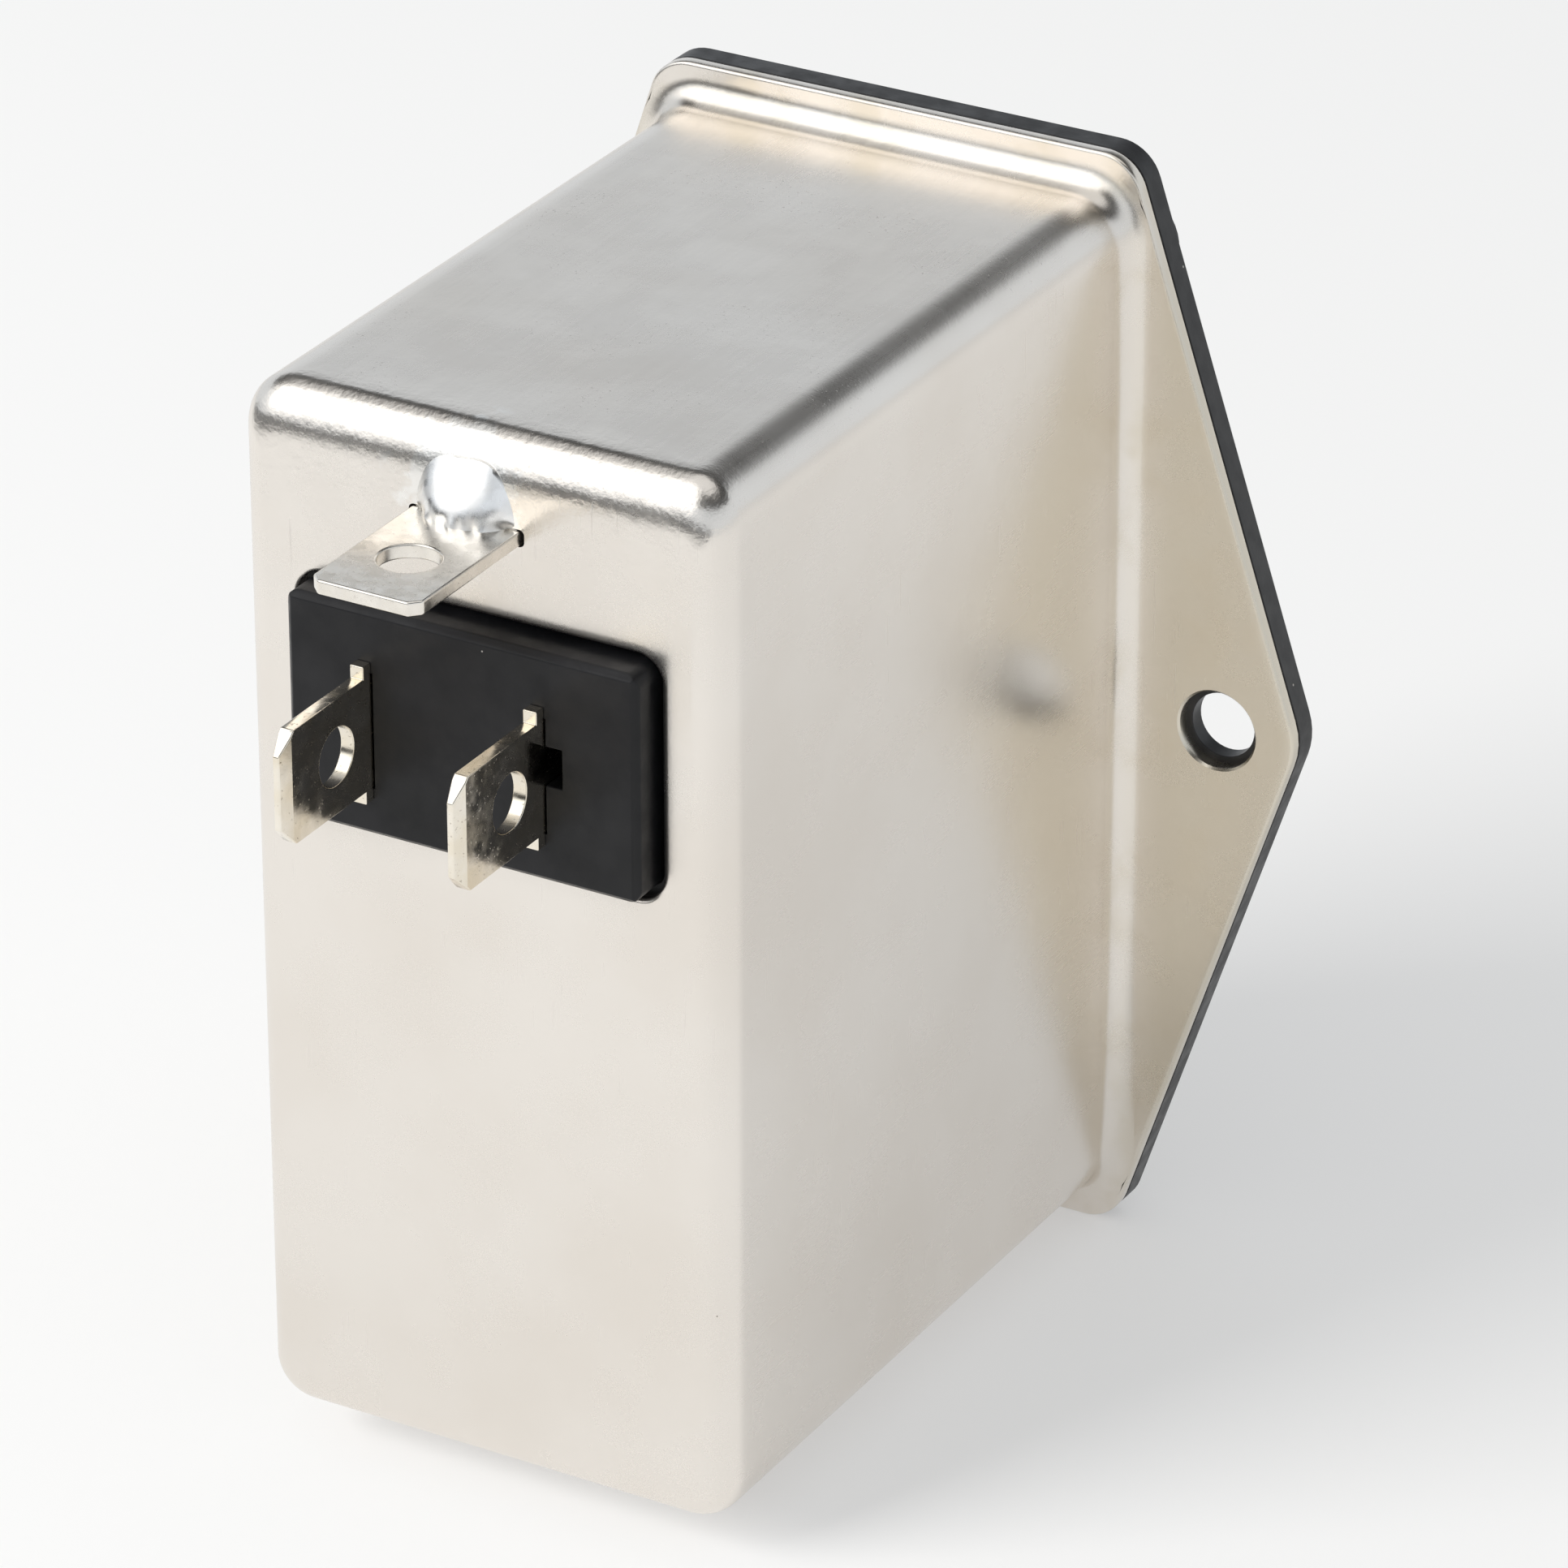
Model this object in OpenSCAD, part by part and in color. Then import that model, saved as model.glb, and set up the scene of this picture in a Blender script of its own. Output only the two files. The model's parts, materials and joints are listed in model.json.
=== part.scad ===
// Mains inlet filter for a panel: a deep-drawn steel can with a six-sided flange,
// a black moulded front with rocker switch, mains inlet and fuse drawer,
// and three flat terminals at the back.
// +Z is up, the inlet faces -Y and the can runs back along +Y.
// The origin is the middle of the flange's back face, between the two screw holes.

/* [Can] */
// Width of the can
can_w = 28.2; // [27:0.1:31]
// Height of the can
can_h = 59.3; // [58:0.1:63]
// Depth of the can behind the flange
can_d = 42.1; // [41:0.1:50]
// Thickness of the steel
sheet_t = 0.8; // [0.5:0.05:1]
// Radius of the can's long edges
can_edge_r = 2.6; // [2.2:0.1:4]
// Radius round the can's back
can_back_r = 1.6; // [1.3:0.1:2]
// Outer radius of the bend between can and flange
bend_r = 1.2; // [0.9:0.1:1.4]

/* [Flange] */
// How far the flange reaches past the can at top and bottom
flange_reach = 2.2; // [2.1:0.1:4]
// How far the flange's top and bottom are wider than the can, on each side
flange_over = 0.15; // [0.1:0.05:2]
// Distance from a screw hole's middle to the flange's tip
tip_reach = 4.8; // [4.2:0.1:7]
// Radius of the flange's four corners
flange_corner_r = 2.5; // [1:0.1:4]
// Radius of the flange's two side tips
flange_tip_r = 4; // [2:0.1:6]
// Distance between the two screw holes
screw_pitch = 40; // [39:0.1:42]
// Screw hole in the steel
steel_hole_d = 4.5; // [4.2:0.1:4.8]
// Screw hole in the moulding
moulding_hole_d = 3.7; // [3.2:0.1:4]

/* [Front moulding] */
// Thickness of the moulded plate
plate_t = 1.5; // [1.3:0.1:2.5]
// How far the raised pad stands from the plate
pad_t = 2; // [1.5:0.1:3]
// How far the raised pad is wider than the can, on each side
pad_over = 0.9; // [0.4:0.1:1.2]
// How far the raised pad is lower than the can, at top and bottom
pad_under = 1.25; // [0.5:0.05:2]
// Radius of the pad's corners
pad_r = 3.1; // [2:0.1:4]
// Wall of the skirt that sits in the can
skirt_wall = 1.2; // [0.8:0.1:1.6]
// Depth of the skirt behind the plate
skirt_d = 3.8; // [3:0.1:6]
// Gap between moulding and can
moulding_gap = 0.2; // [0.1:0.05:0.4]
// Thickness of the pad's own wall
pad_wall = 2; // [1.6:0.1:2.4]
// Radius inside the skirt's corners
skirt_in_r = 0.5; // [0.2:0.1:0.8]
// Width and depth of the bevel at the moulding's screw holes
hole_bevel = 0.5; // [0.2:0.1:0.8]
// Wall round the opening for the switch
switch_wall = 1.3; // [0.8:0.1:2]
// Room from a post to the board's edge
post_edge = 0.2; // [0:0.1:0.6]
// Room from an upper post to the board's upper edge
post_drop = 1.2; // [0.2:0.1:1.4]
// Diameter of the four posts that hold the board
post_d = 2.4; // [2:0.1:2.8]

/* [Mains inlet] */
// Width of the inlet's well
well_w = 24.4; // [24:0.1:24.6]
// Height of the inlet's well
well_h = 16.6; // [16:0.1:17]
// Depth of the inlet's well
well_d = 16.5; // [15:0.1:17.5]
// Height of the middle of the well above the screws
well_z = -3.5; // [-4:0.1:-3]
// Bevel at the well's two upper corners
well_bevel = 4.6; // [3:0.1:5.5]
// Wall above and below the well
well_wall = 1.2; // [1:0.1:1.4]
// Floor of the well
well_floor = 2.5; // [2:0.1:3]
// Thickness of each pin
pin_t = 2; // [1.8:0.1:2.2]
// Height of each pin
pin_h = 4; // [3.8:0.1:4.2]
// Distance between the two live pins
pin_pitch = 14; // [13.5:0.1:14.5]
// Height of the earth pin over the live pins
earth_rise = 4; // [3.8:0.1:4.4]
// Free length of the live pins
pin_free = 13; // [11:0.1:14]
// How much longer the earth pin is
earth_extra = 1; // [0.5:0.1:1.5]
// Bevel at the pins' tips
pin_bevel = 0.7; // [0.4:0.1:0.8]
// Length of the tails behind the well's floor
pin_tail = 4.3; // [3:0.1:5]
// Width of the tails
tail_w = 1.2; // [0.8:0.1:1.6]
// Height of the tails
tail_h = 3; // [2:0.1:3.6]

/* [Rocker switch] */
// Distance between the inlet's well and the switch's body
switch_rise = 5.8; // [4.5:0.1:6.4]
// Width of the switch's body
switch_w = 19; // [18.6:0.1:19.4]
// Height of the switch's body
switch_h = 12.8; // [12.6:0.1:13]
// Gap round the switch's body
switch_gap = 0.2; // [0.1:0.05:0.3]
// Depth of the switch's body behind the pad
switch_d = 17.3; // [16:0.1:18]
// How far the switch's rim laps over the pad
rim_lap = 1.2; // [1:0.1:1.5]
// Thickness of the switch's rim
rim_t = 1.2; // [1:0.1:1.6]
// Radius of the rim's corners
rim_r = 1; // [0.4:0.1:1.6]
// Radius of the rocker's ends about its pivot
rocker_r = 8.6; // [8.3:0.1:8.6]
// Height of the rocker
rocker_h = 11; // [10.6:0.1:11.2]
// Gap round the rocker
rocker_gap = 0.15; // [0.1:0.05:0.2]
// Tilt of the rocker to each side
rocker_tilt = 9; // [7:0.5:10]
// Diameter of the rocker's pivot pins
pivot_d = 1.5; // [1.2:0.1:1.8]
// Gap round the pivot pins
pivot_gap = 0.1; // [0.05:0.05:0.15]
// How far each pivot pin stays inside the switch's body
pivot_short = 0.2; // [0.1:0.05:0.3]
// How far the rocker's ends stand over its rim
rocker_proud = 2; // [1.6:0.1:2.4]
// How far the rocker's middle stands over its rim
rocker_crest = 0.9; // [0.6:0.1:1.2]
// Radius of the hollow in each wing of the rocker
dish_r = 21.3; // [18:0.1:26]
// Depth of that hollow under the rocker's ends
dish_d = 0.7; // [0.3:0.1:0.9]
// Distance of that hollow's middle from the pivot
dish_x = 4.2; // [3.8:0.1:4.6]
// Depth of the rocker's hub behind the pivot
hub_in = 1.2; // [0.9:0.1:1.6]
// Depth of the rocker's ends behind the pivot
wing_in = 0.3; // [0.1:0.1:0.6]
// Depth of the switch's chamber behind the pivot
chamber_in = 3.2; // [2.6:0.1:4]
// How far in front of the pad's back the pivot lies
pivot_in = 1.3; // [1:0.1:1.5]
// Distance between the two columns of switch terminals
switch_col = 9.6; // [9:0.1:11]
// Distance between the two rows of switch terminals
switch_row = 6.8; // [6.4:0.1:7.2]
// Width of a switch terminal
lug_w = 4.8; // [4:0.1:5]
// Thickness of a switch terminal
lug_t = 0.8; // [0.6:0.1:1]
// Free length of a switch terminal
lug_free = 7; // [6:0.1:7.4]
// Length of a switch terminal inside the body
lug_in = 4; // [3:0.1:5]

/* [Fuse drawer] */
// Distance between the inlet's well and the drawer's pocket
drawer_drop = 2.7; // [1.5:0.1:3]
// Width of the drawer
drawer_w = 24.2; // [24:0.1:24.4]
// Height of the drawer
drawer_h = 8.2; // [7.8:0.1:8.4]
// Gap round the drawer
drawer_gap = 0.2; // [0.1:0.05:0.25]
// How far the drawer's front stands off the pad
drawer_proud = 1; // [0.6:0.1:1.6]
// Length of the drawer behind the pad's face
drawer_l = 18.3; // [18:0.1:19]
// Depth of the drawer's pocket
pocket_d = 19; // [19:0.1:20]
// Back wall of the pocket
pocket_floor = 1.3; // [1.1:0.1:1.8]
// Depth of the finger groove in the drawer's front
groove_d = 0.8; // [0.4:0.1:1]
// Length of that groove
groove_l = 9.7; // [6:0.1:14]
// Length of a fuse
fuse_l = 20; // [19.6:0.1:20.2]
// Diameter of a fuse's caps
cap_d = 5.2; // [5:0.1:5.3]
// Diameter of a fuse's glass
glass_d = 4.6; // [4.4:0.1:4.8]
// Wall of a fuse's glass
glass_t = 0.6; // [0.4:0.1:0.8]
// Gap between glass and cap
glass_gap = 0.05; // [0.02:0.01:0.08]
// Length of a fuse's cap
cap_l = 5; // [4.5:0.1:5.5]
// Thickness of a cap's end
cap_end = 0.4; // [0.3:0.05:0.5]
// How far the glass stays behind each end of the fuse
glass_short = 0.5; // [0.5:0.05:0.8]
// Depth of the spare fuse's middle behind the pad's face
spare_in = 6.3; // [6:0.1:6.6]
// Depth of the working fuse's middle behind the pad's face
working_in = 14.8; // [14.6:0.1:15]
// Gap round a fuse
fuse_gap = 0.15; // [0.1:0.05:0.2]
// Thickness of a fuse contact
contact_t = 0.5; // [0.3:0.1:0.6]
// Height of a fuse contact
contact_h = 4; // [3:0.1:5]
// Width of a fuse contact's leaf
contact_w = 4.4; // [3.6:0.1:5]
// Gap between a fuse contact and its cap
contact_gap = 0.1; // [0.05:0.05:0.2]
// Length of a fuse contact's tail behind the pocket
contact_tail = 4; // [3:0.1:5]

/* [Back terminals] */
// Distance from the window to each side of the can
window_side = 3.45; // [3.2:0.05:4]
// Height of the window
window_h = 13.6; // [13.2:0.1:14]
// Distance from the can's top to the window
window_drop = 9.75; // [9.4:0.05:10]
// Radius of the window's corners
window_r = 1.5; // [0.8:0.1:2]
// Gap beside the terminal block in the window
block_side_gap = 0.4; // [0.1:0.05:0.6]
// Gap over and under the block, counted from the window's middle
block_gap = 0.45; // [0.25:0.05:0.7]
// How far the block stands out of the can
block_proud = 1.75; // [1:0.05:2.4]
// How far the block's middle lies over the window's middle
block_up = 0.1; // [0:0.05:0.2]
// Radius of the block's corners
block_r = 0.8; // [0.4:0.1:1.4]
// Bevel round the block's face
block_bevel = 0.35; // [0.2:0.05:0.5]
// Lip over and under the block behind the can's back wall
block_lip = 1.8; // [1:0.1:2]
// Gap between that lip and the round inside the can
lip_gap = 0.25; // [0.1:0.05:0.6]
// Thickness of that lip
lip_t = 2; // [1:0.1:2.4]
// Radius of the lip's corners
lip_r = 1; // [0.5:0.1:1.5]
// Depth of the block behind its lip
block_d = 4; // [3:0.1:5]
// Distance of the live blade from the middle
line_x = 5.6; // [5.2:0.1:6]
// Distance of the neutral blade from the middle
neutral_x = 4.5; // [4.2:0.1:5.4]
// How far the blades' middle lies under the window's middle
blade_down = 0.3; // [0:0.05:0.4]
// Width of a blade
blade_w = 6.3; // [6:0.1:6.4]
// Thickness of a blade
blade_t = 0.8; // [0.7:0.05:0.9]
// Free length of a blade
blade_free = 8.2; // [7:0.1:10]
// Hole in a blade
blade_hole_d = 3.2; // [1.8:0.1:3.4]
// Distance of that hole from the blade's tip
blade_hole_in = 4.9; // [4:0.1:5]
// Bevel at a blade's corners
blade_bevel = 1.1; // [0.5:0.1:1.4]
// Length of the thinned lead-in at a blade's tip
lead_in = 0.9; // [0.5:0.1:1.2]
// Depth of the lead-in on each face
lead_in_t = 0.22; // [0.1:0.02:0.26]
// Height of the two shoulders at a blade's root
shoulder_h = 0.7; // [0.4:0.1:1]
// Length of the shoulders
shoulder_l = 0.7; // [0.5:0.1:1]
// Width of a blade's tail inside the can
blade_tail_w = 2.4; // [2:0.1:3]
// Gap round metal in the moulded block
slot_gap = 0.05; // [0.02:0.01:0.1]
// Small pocket beside the neutral blade, its width
vent_w = 0.95; // [0.6:0.05:1.2]
// Height of that pocket
vent_h = 2.15; // [1.6:0.05:2.6]
// Depth of that pocket
vent_d = 3; // [1:0.1:4]
// Height of that pocket's middle over the blades' middle
vent_up = 0.6; // [0:0.1:1]

/* [Earth tab] */
// Sideways place of the earth tab
tab_x = 0.5; // [0:0.1:1]
// Distance from the can's top to the tab's upper face
tab_drop = 4.65; // [4.3:0.05:4.9]
// Width of the earth tab
tab_w = 6.3; // [6:0.1:6.5]
// Thickness of the earth tab
tab_t = 0.8; // [0.7:0.05:0.9]
// Free length of the earth tab
tab_free = 9.6; // [9:0.1:11]
// Length of the earth tab inside the can
tab_in = 6.1; // [4:0.1:7]
// Distance of the tab's hole from its tip
tab_hole_in = 4.3; // [4:0.1:4.8]
// Gap at the ends of the tab's slot
tab_slot_side = 0.35; // [0.2:0.05:0.6]
// Gap over and under the tab in its slot
tab_slot_gap = 0.3; // [0.2:0.05:0.5]
// Width of the solder on the tab
solder_w = 5; // [3:0.1:5.4]
// Height of the solder on the can
solder_h = 2.6; // [1.5:0.1:2.7]
// Length of the solder along the tab
solder_l = 1.3; // [0.8:0.1:2]
// Radius of the solder's hollow
solder_r = 3; // [2:0.1:5]
// Thickness left at the solder's edges
solder_edge = 0.1; // [0.05:0.05:0.2]

/* [Board and filter] */
// Thickness of the circuit board
board_t = 1.6; // [1:0.1:2]
// Gap between the board's side edges and the sleeve
board_side_gap = 0.35; // [0.15:0.05:0.6]
// Gap between the board's lower edge and the sleeve
board_low_gap = 0.5; // [0.2:0.05:0.8]
// How far the board's upper edge stays under the earth tab's middle
board_under = 2.6; // [2.2:0.1:3]
// Radius of the board's corners
board_r = 1; // [0.5:0.1:1.2]
// Depth of the board's front face behind the flange
board_y = 24; // [24:0.1:25]
// Gap round a blade's tail in the board
lead_hole_gap = 0.1; // [0.05:0.05:0.3]
// How far a blade's tail stands out of the board's front
tail_through = 0.8; // [0.4:0.1:1.2]
// Width of the choke ring's band
ring_band = 4.75; // [4:0.05:5]
// Room between the choke's windings and the can's back
ring_room = 4; // [3:0.1:6]
// Rounding of the ring's edges
ring_r = 1; // [0.4:0.1:1.5]
// Gap between the board and the windings
ring_off = 0.1; // [0.05:0.05:0.5]
// Room between the lower winding and the board's lower edge
ring_edge = 1.6; // [1.2:0.1:1.8]
// Diameter of the choke's wire
wire_d = 1.1; // [0.8:0.1:1.2]
// Least gap between two turns of a winding
turn_gap = 0.35; // [0.3:0.05:1]
// Gap between wire and ring
wire_gap = 0.2; // [0.15:0.05:0.3]
// Arc that each winding covers
wind_arc = 136; // [110:1:140]
// Thickness of the bar between the windings
divider_t = 1.3; // [0.8:0.1:1.5]
// Gap between that bar's ends and the ring
divider_gap = 0.1; // [0.05:0.05:0.2]
// Width of the main capacitor
x_cap_w = 18; // [15:0.1:20]
// Thickness of the main capacitor
x_cap_t = 6; // [5:0.1:6.2]
// Room between the main capacitor and the can's back
x_cap_room = 3.7; // [3:0.1:6]
// Room between the main capacitor and the terminal block over it
x_cap_drop = 2.25; // [1.9:0.05:3]
// Room between the upper winding and the main capacitor
x_cap_gap = 1.4; // [0.6:0.1:1.6]
// Room between a disc capacitor and the terminal block behind it
disc_room = 1.2; // [0.5:0.1:2.4]
// Thickness of a disc capacitor
disc_t = 3.6; // [3:0.1:4]
// Gap between the disc capacitors and the blades
disc_gap = 0.6; // [0.3:0.1:1]
// Room between the discs and the board's upper edge
disc_edge = 0.85; // [0.5:0.05:1.2]
// Length of a disc's leads under the disc
disc_lead = 1; // [0.5:0.1:1.1]
// How far a disc's leads stand in from its sides
disc_in = 1.25; // [0.8:0.05:1.8]
// Diameter of thin leads
thin_d = 0.6; // [0.5:0.05:0.8]
// Diameter of the resistor's body
resistor_d = 2.4; // [2:0.1:3]
// Length of the resistor's body
resistor_l = 6.5; // [5:0.1:7]
// Room between the main capacitor and the resistor
resistor_gap = 2.2; // [1:0.1:2.4]
// Gap between the resistor's body and the board
resistor_off = 0.3; // [0.1:0.1:0.6]
// How far the resistor's leads run out before they bend
resistor_lead = 1.2; // [0.8:0.1:2]
// Diameter of the insulated leads
lead_d = 1.8; // [1.4:0.1:1.9]
// Depth of the leads in front of the board
lead_off = 2.2; // [2:0.1:2.4]
// Sideways place of the fused lead
fused_x = 3.2; // [3:0.1:3.6]
// Wall of the insulating sleeve
sleeve_t = 0.25; // [0.2:0.05:0.3]
// Gap between the sleeve and the can
sleeve_gap = 0.1; // [0.05:0.05:0.15]
// Distance of the sleeve behind the inlet's floor
sleeve_off = 3; // [2:0.1:4]
// Length of the sleeve
sleeve_l = 20; // [15:0.1:20]

/* [Hidden] */
$fn = 64;
eps = 0.01;
cut = 1;
back_in = can_d - sheet_t;
flange_top_w = can_w + 2 * flange_over;
flange_h = can_h + 2 * flange_reach;
flange_w = screw_pitch + 2 * tip_reach;
plate_y = -sheet_t - plate_t;
plate_mid = plate_y + plate_t / 2;
pad_y = plate_y - pad_t;
pad_w = can_w + 2 * pad_over;
pad_h = can_h - 2 * pad_under;
skirt_w = can_w - 2 * sheet_t - 2 * moulding_gap;
skirt_h = can_h - 2 * sheet_t - 2 * moulding_gap;
skirt_r = can_edge_r - sheet_t - moulding_gap;
skirt_back = -sheet_t + skirt_d;
pad_back = pad_y + pad_wall;
well_back = pad_y + well_d;
floor_back = well_back + well_floor;
tail_end = floor_back + pin_tail;
switch_z = well_z + well_h / 2 + switch_rise + switch_h / 2;
live_z = well_z - earth_rise / 2;
earth_z = well_z + earth_rise / 2;
pocket_back = pad_y + pocket_d;
pocket_end = pocket_back + pocket_floor;
pocket_w = drawer_w + 2 * drawer_gap;
pocket_h = drawer_h + 2 * drawer_gap;
drawer_z = well_z - well_h / 2 - drawer_drop - pocket_h / 2;
switch_back = pad_y + switch_d;
switch_hole_w = switch_w + 2 * switch_gap;
switch_hole_h = switch_h + 2 * switch_gap;
pivot_y = pad_y + pivot_in;
chamber_w = 2 * (rocker_r + rocker_gap);
chamber_h = rocker_h + 4 * rocker_gap;
lug_end = switch_back + lug_free;
working_y = pad_y + working_in;
spare_y = pad_y + spare_in;
window_z = can_h / 2 - window_drop - window_h / 2;
window_w = can_w - 2 * window_side;
block_w = window_w - 2 * block_side_gap;
block_h = window_h - 2 * block_gap;
block_z = window_z + block_up;
blade_z = window_z - blade_down;
block_face = can_d + block_proud;
block_back = back_in - lip_t - block_d;
blade_tip = block_face + blade_free;
tab_top = can_h / 2 - tab_drop;
tab_tip = can_d + tab_free;
tab_end = can_d - tab_in;
tab_mid = tab_top - tab_t / 2;
sleeve_w = can_w - 2 * sheet_t - 2 * sleeve_gap;
sleeve_h = can_h - 2 * sheet_t - 2 * sleeve_gap;
board_w = sleeve_w - 2 * sleeve_t - 2 * board_side_gap;
board_low = -sleeve_h / 2 + sleeve_t + board_low_gap;
board_high = tab_mid - board_under;
board_back = board_y + board_t;
board_mid = (board_low + board_high) / 2;
board_h = board_high - board_low;
post_x = board_w / 2 - post_d / 2 - post_edge;
post_low = board_low + post_d / 2 + post_edge;
post_high = board_high - post_d / 2 - post_drop;
wire_room = wire_gap + wire_d;
x_cap_h = back_in - x_cap_room - board_back;
x_cap_z = block_z - block_h / 2 - x_cap_drop - x_cap_t / 2;
ring_t = back_in - ring_room - board_back - ring_off - 2 * wire_room;
ring_mid = board_back + ring_off + wire_room + ring_t / 2;
ring_base = board_low + ring_edge + wire_room;
ring_od = x_cap_z - x_cap_t / 2 - x_cap_gap - wire_room - ring_base;
ring_id = ring_od - 2 * ring_band;
ring_z = ring_base + ring_od / 2;
resistor_z = x_cap_z + x_cap_t / 2 + resistor_gap + resistor_d / 2;
disc_x = max(line_x, neutral_x) + blade_t / 2 + disc_gap + disc_t / 2;
disc_d = block_back - disc_room - board_back - disc_lead;
disc_z = board_high - disc_edge - disc_d / 2;
lead_y = board_y - lead_off;
contact_y = working_y + cap_d / 2 + contact_gap;
tail_x = pin_pitch / 2;

// Each node is one separate piece of the filter

// Carries a drawing in X and Z through the depth from y0 to y1
module along_y(y0, y1) {
    translate([0, y1, 0]) rotate([90, 0, 0]) linear_extrude(height = y1 - y0) children();
}

// Carries a drawing in Y and Z sideways, centred on X
module along_x(length) {
    rotate([90, 0, 90]) translate([0, 0, -length / 2]) linear_extrude(height = length) children();
}

module rounded_plan(w, h, r) {
    square([w - 2 * r, h], center = true);
    square([w, h - 2 * r], center = true);
    for (sx = [-1, 1], sz = [-1, 1])
        translate([sx * (w / 2 - r), sz * (h / 2 - r)]) circle(r = r);
}

// Unit vector from one point to another
function toward(a, b) = (b - a) / norm(b - a);

// Half the angle between the two edges that meet at a corner
function half_angle(a, b, c) = acos(toward(b, a) * toward(b, c)) / 2;

// Where the rounding of a corner starts on the edge to the point a
function start_of(a, b, c, r) = b + toward(b, a) * r / tan(half_angle(a, b, c));

// Middle of the arc that rounds a corner
function arc_middle(a, b, c, r) =
    b + toward([0, 0], toward(b, a) + toward(b, c)) * r / sin(half_angle(a, b, c));

// Six-sided outline with rounded corners, shared by flange and moulded plate
module flange_plan() {
    a = flange_top_w / 2;
    b = flange_h / 2;
    c = flange_w / 2;
    p = [[a, b], [c, 0], [a, -b], [-a, -b], [-c, 0], [-a, b]];
    r = [flange_corner_r, flange_tip_r, flange_corner_r, flange_corner_r, flange_tip_r,
        flange_corner_r];
    polygon([for (i = [0:5], s = [0, 1])
        let (before = p[(i + 5) % 6], after = p[(i + 1) % 6])
        s == 0 ? start_of(before, p[i], after, r[i]) : start_of(after, p[i], before, r[i])]);
    for (i = [0:5])
        translate(arc_middle(p[(i + 5) % 6], p[i], p[(i + 1) % 6], r[i])) circle(r = r[i]);
}

// Section of the drawn wall, measured out from the middle of the can's corner arc:
// the bend at the flange, the straight wall and the round at the back
module wall_section() {
    t = sheet_t;
    out = bend_r + t;
    translate([can_edge_r + bend_r, bend_r]) intersection() {
        difference() {
            circle(r = out);
            circle(r = bend_r);
        }
        translate([-out, -out]) square(out);
    }
    translate([can_edge_r - t, bend_r]) square([t, can_d - can_back_r - bend_r]);
    translate([can_edge_r - can_back_r, can_d - can_back_r]) intersection() {
        difference() {
            circle(r = can_back_r);
            circle(r = can_back_r - t);
        }
        square(can_back_r);
    }
}

// The section carried along the four sides and turned round the four corners
module drawn_wall() {
    x = can_w / 2 - can_edge_r;
    z = can_h / 2 - can_edge_r;
    for (side = [0, 1]) mirror([side, 0, 0])
        translate([x, 0, -z]) linear_extrude(height = 2 * z) wall_section();
    for (side = [0, 1]) mirror([0, 0, side])
        translate([x, 0, z]) rotate([0, -90, 0]) linear_extrude(height = 2 * x) wall_section();
    for (sx = [0, 1], sz = [0, 1]) mirror([sx, 0, 0]) mirror([0, 0, sz])
        translate([x, 0, -z]) rotate([-90, 0, 0]) rotate_extrude(angle = 90) wall_section();
}

// Deep-drawn in one piece: flange, bend, four walls and rounded back
module shield_can() {
    inset = 2 * can_back_r;
    color("lightgray") difference() {
        union() {
            along_y(-sheet_t, 0) difference() {
                flange_plan();
                rounded_plan(can_w + 2 * bend_r, can_h + 2 * bend_r, can_edge_r + bend_r);
            }
            drawn_wall();
            along_y(back_in, can_d)
                rounded_plan(can_w - inset, can_h - inset, can_edge_r - can_back_r);
        }
        translate([0, 0, window_z])
            along_y(back_in - cut, can_d + cut) rounded_plan(window_w, window_h, window_r);
        translate([tab_x, 0, tab_mid])
            along_y(back_in - cut, can_d + cut)
                square([tab_w + 2 * tab_slot_side, tab_t + 2 * tab_slot_gap], center = true);
        for (sx = [-1, 1])
            translate([sx * screw_pitch / 2, 0, 0])
                rotate([90, 0, 0]) cylinder(h = 4 * sheet_t, d = steel_hole_d, center = true);
    }
}

// Outline of the inlet's well, with its two upper corners bevelled
module well_plan(w, h, bevel) {
    polygon([[-w / 2, -h / 2], [w / 2, -h / 2], [w / 2, h / 2 - bevel],
        [w / 2 - bevel, h / 2], [-w / 2 + bevel, h / 2], [-w / 2, h / 2 - bevel]]);
}

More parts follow.
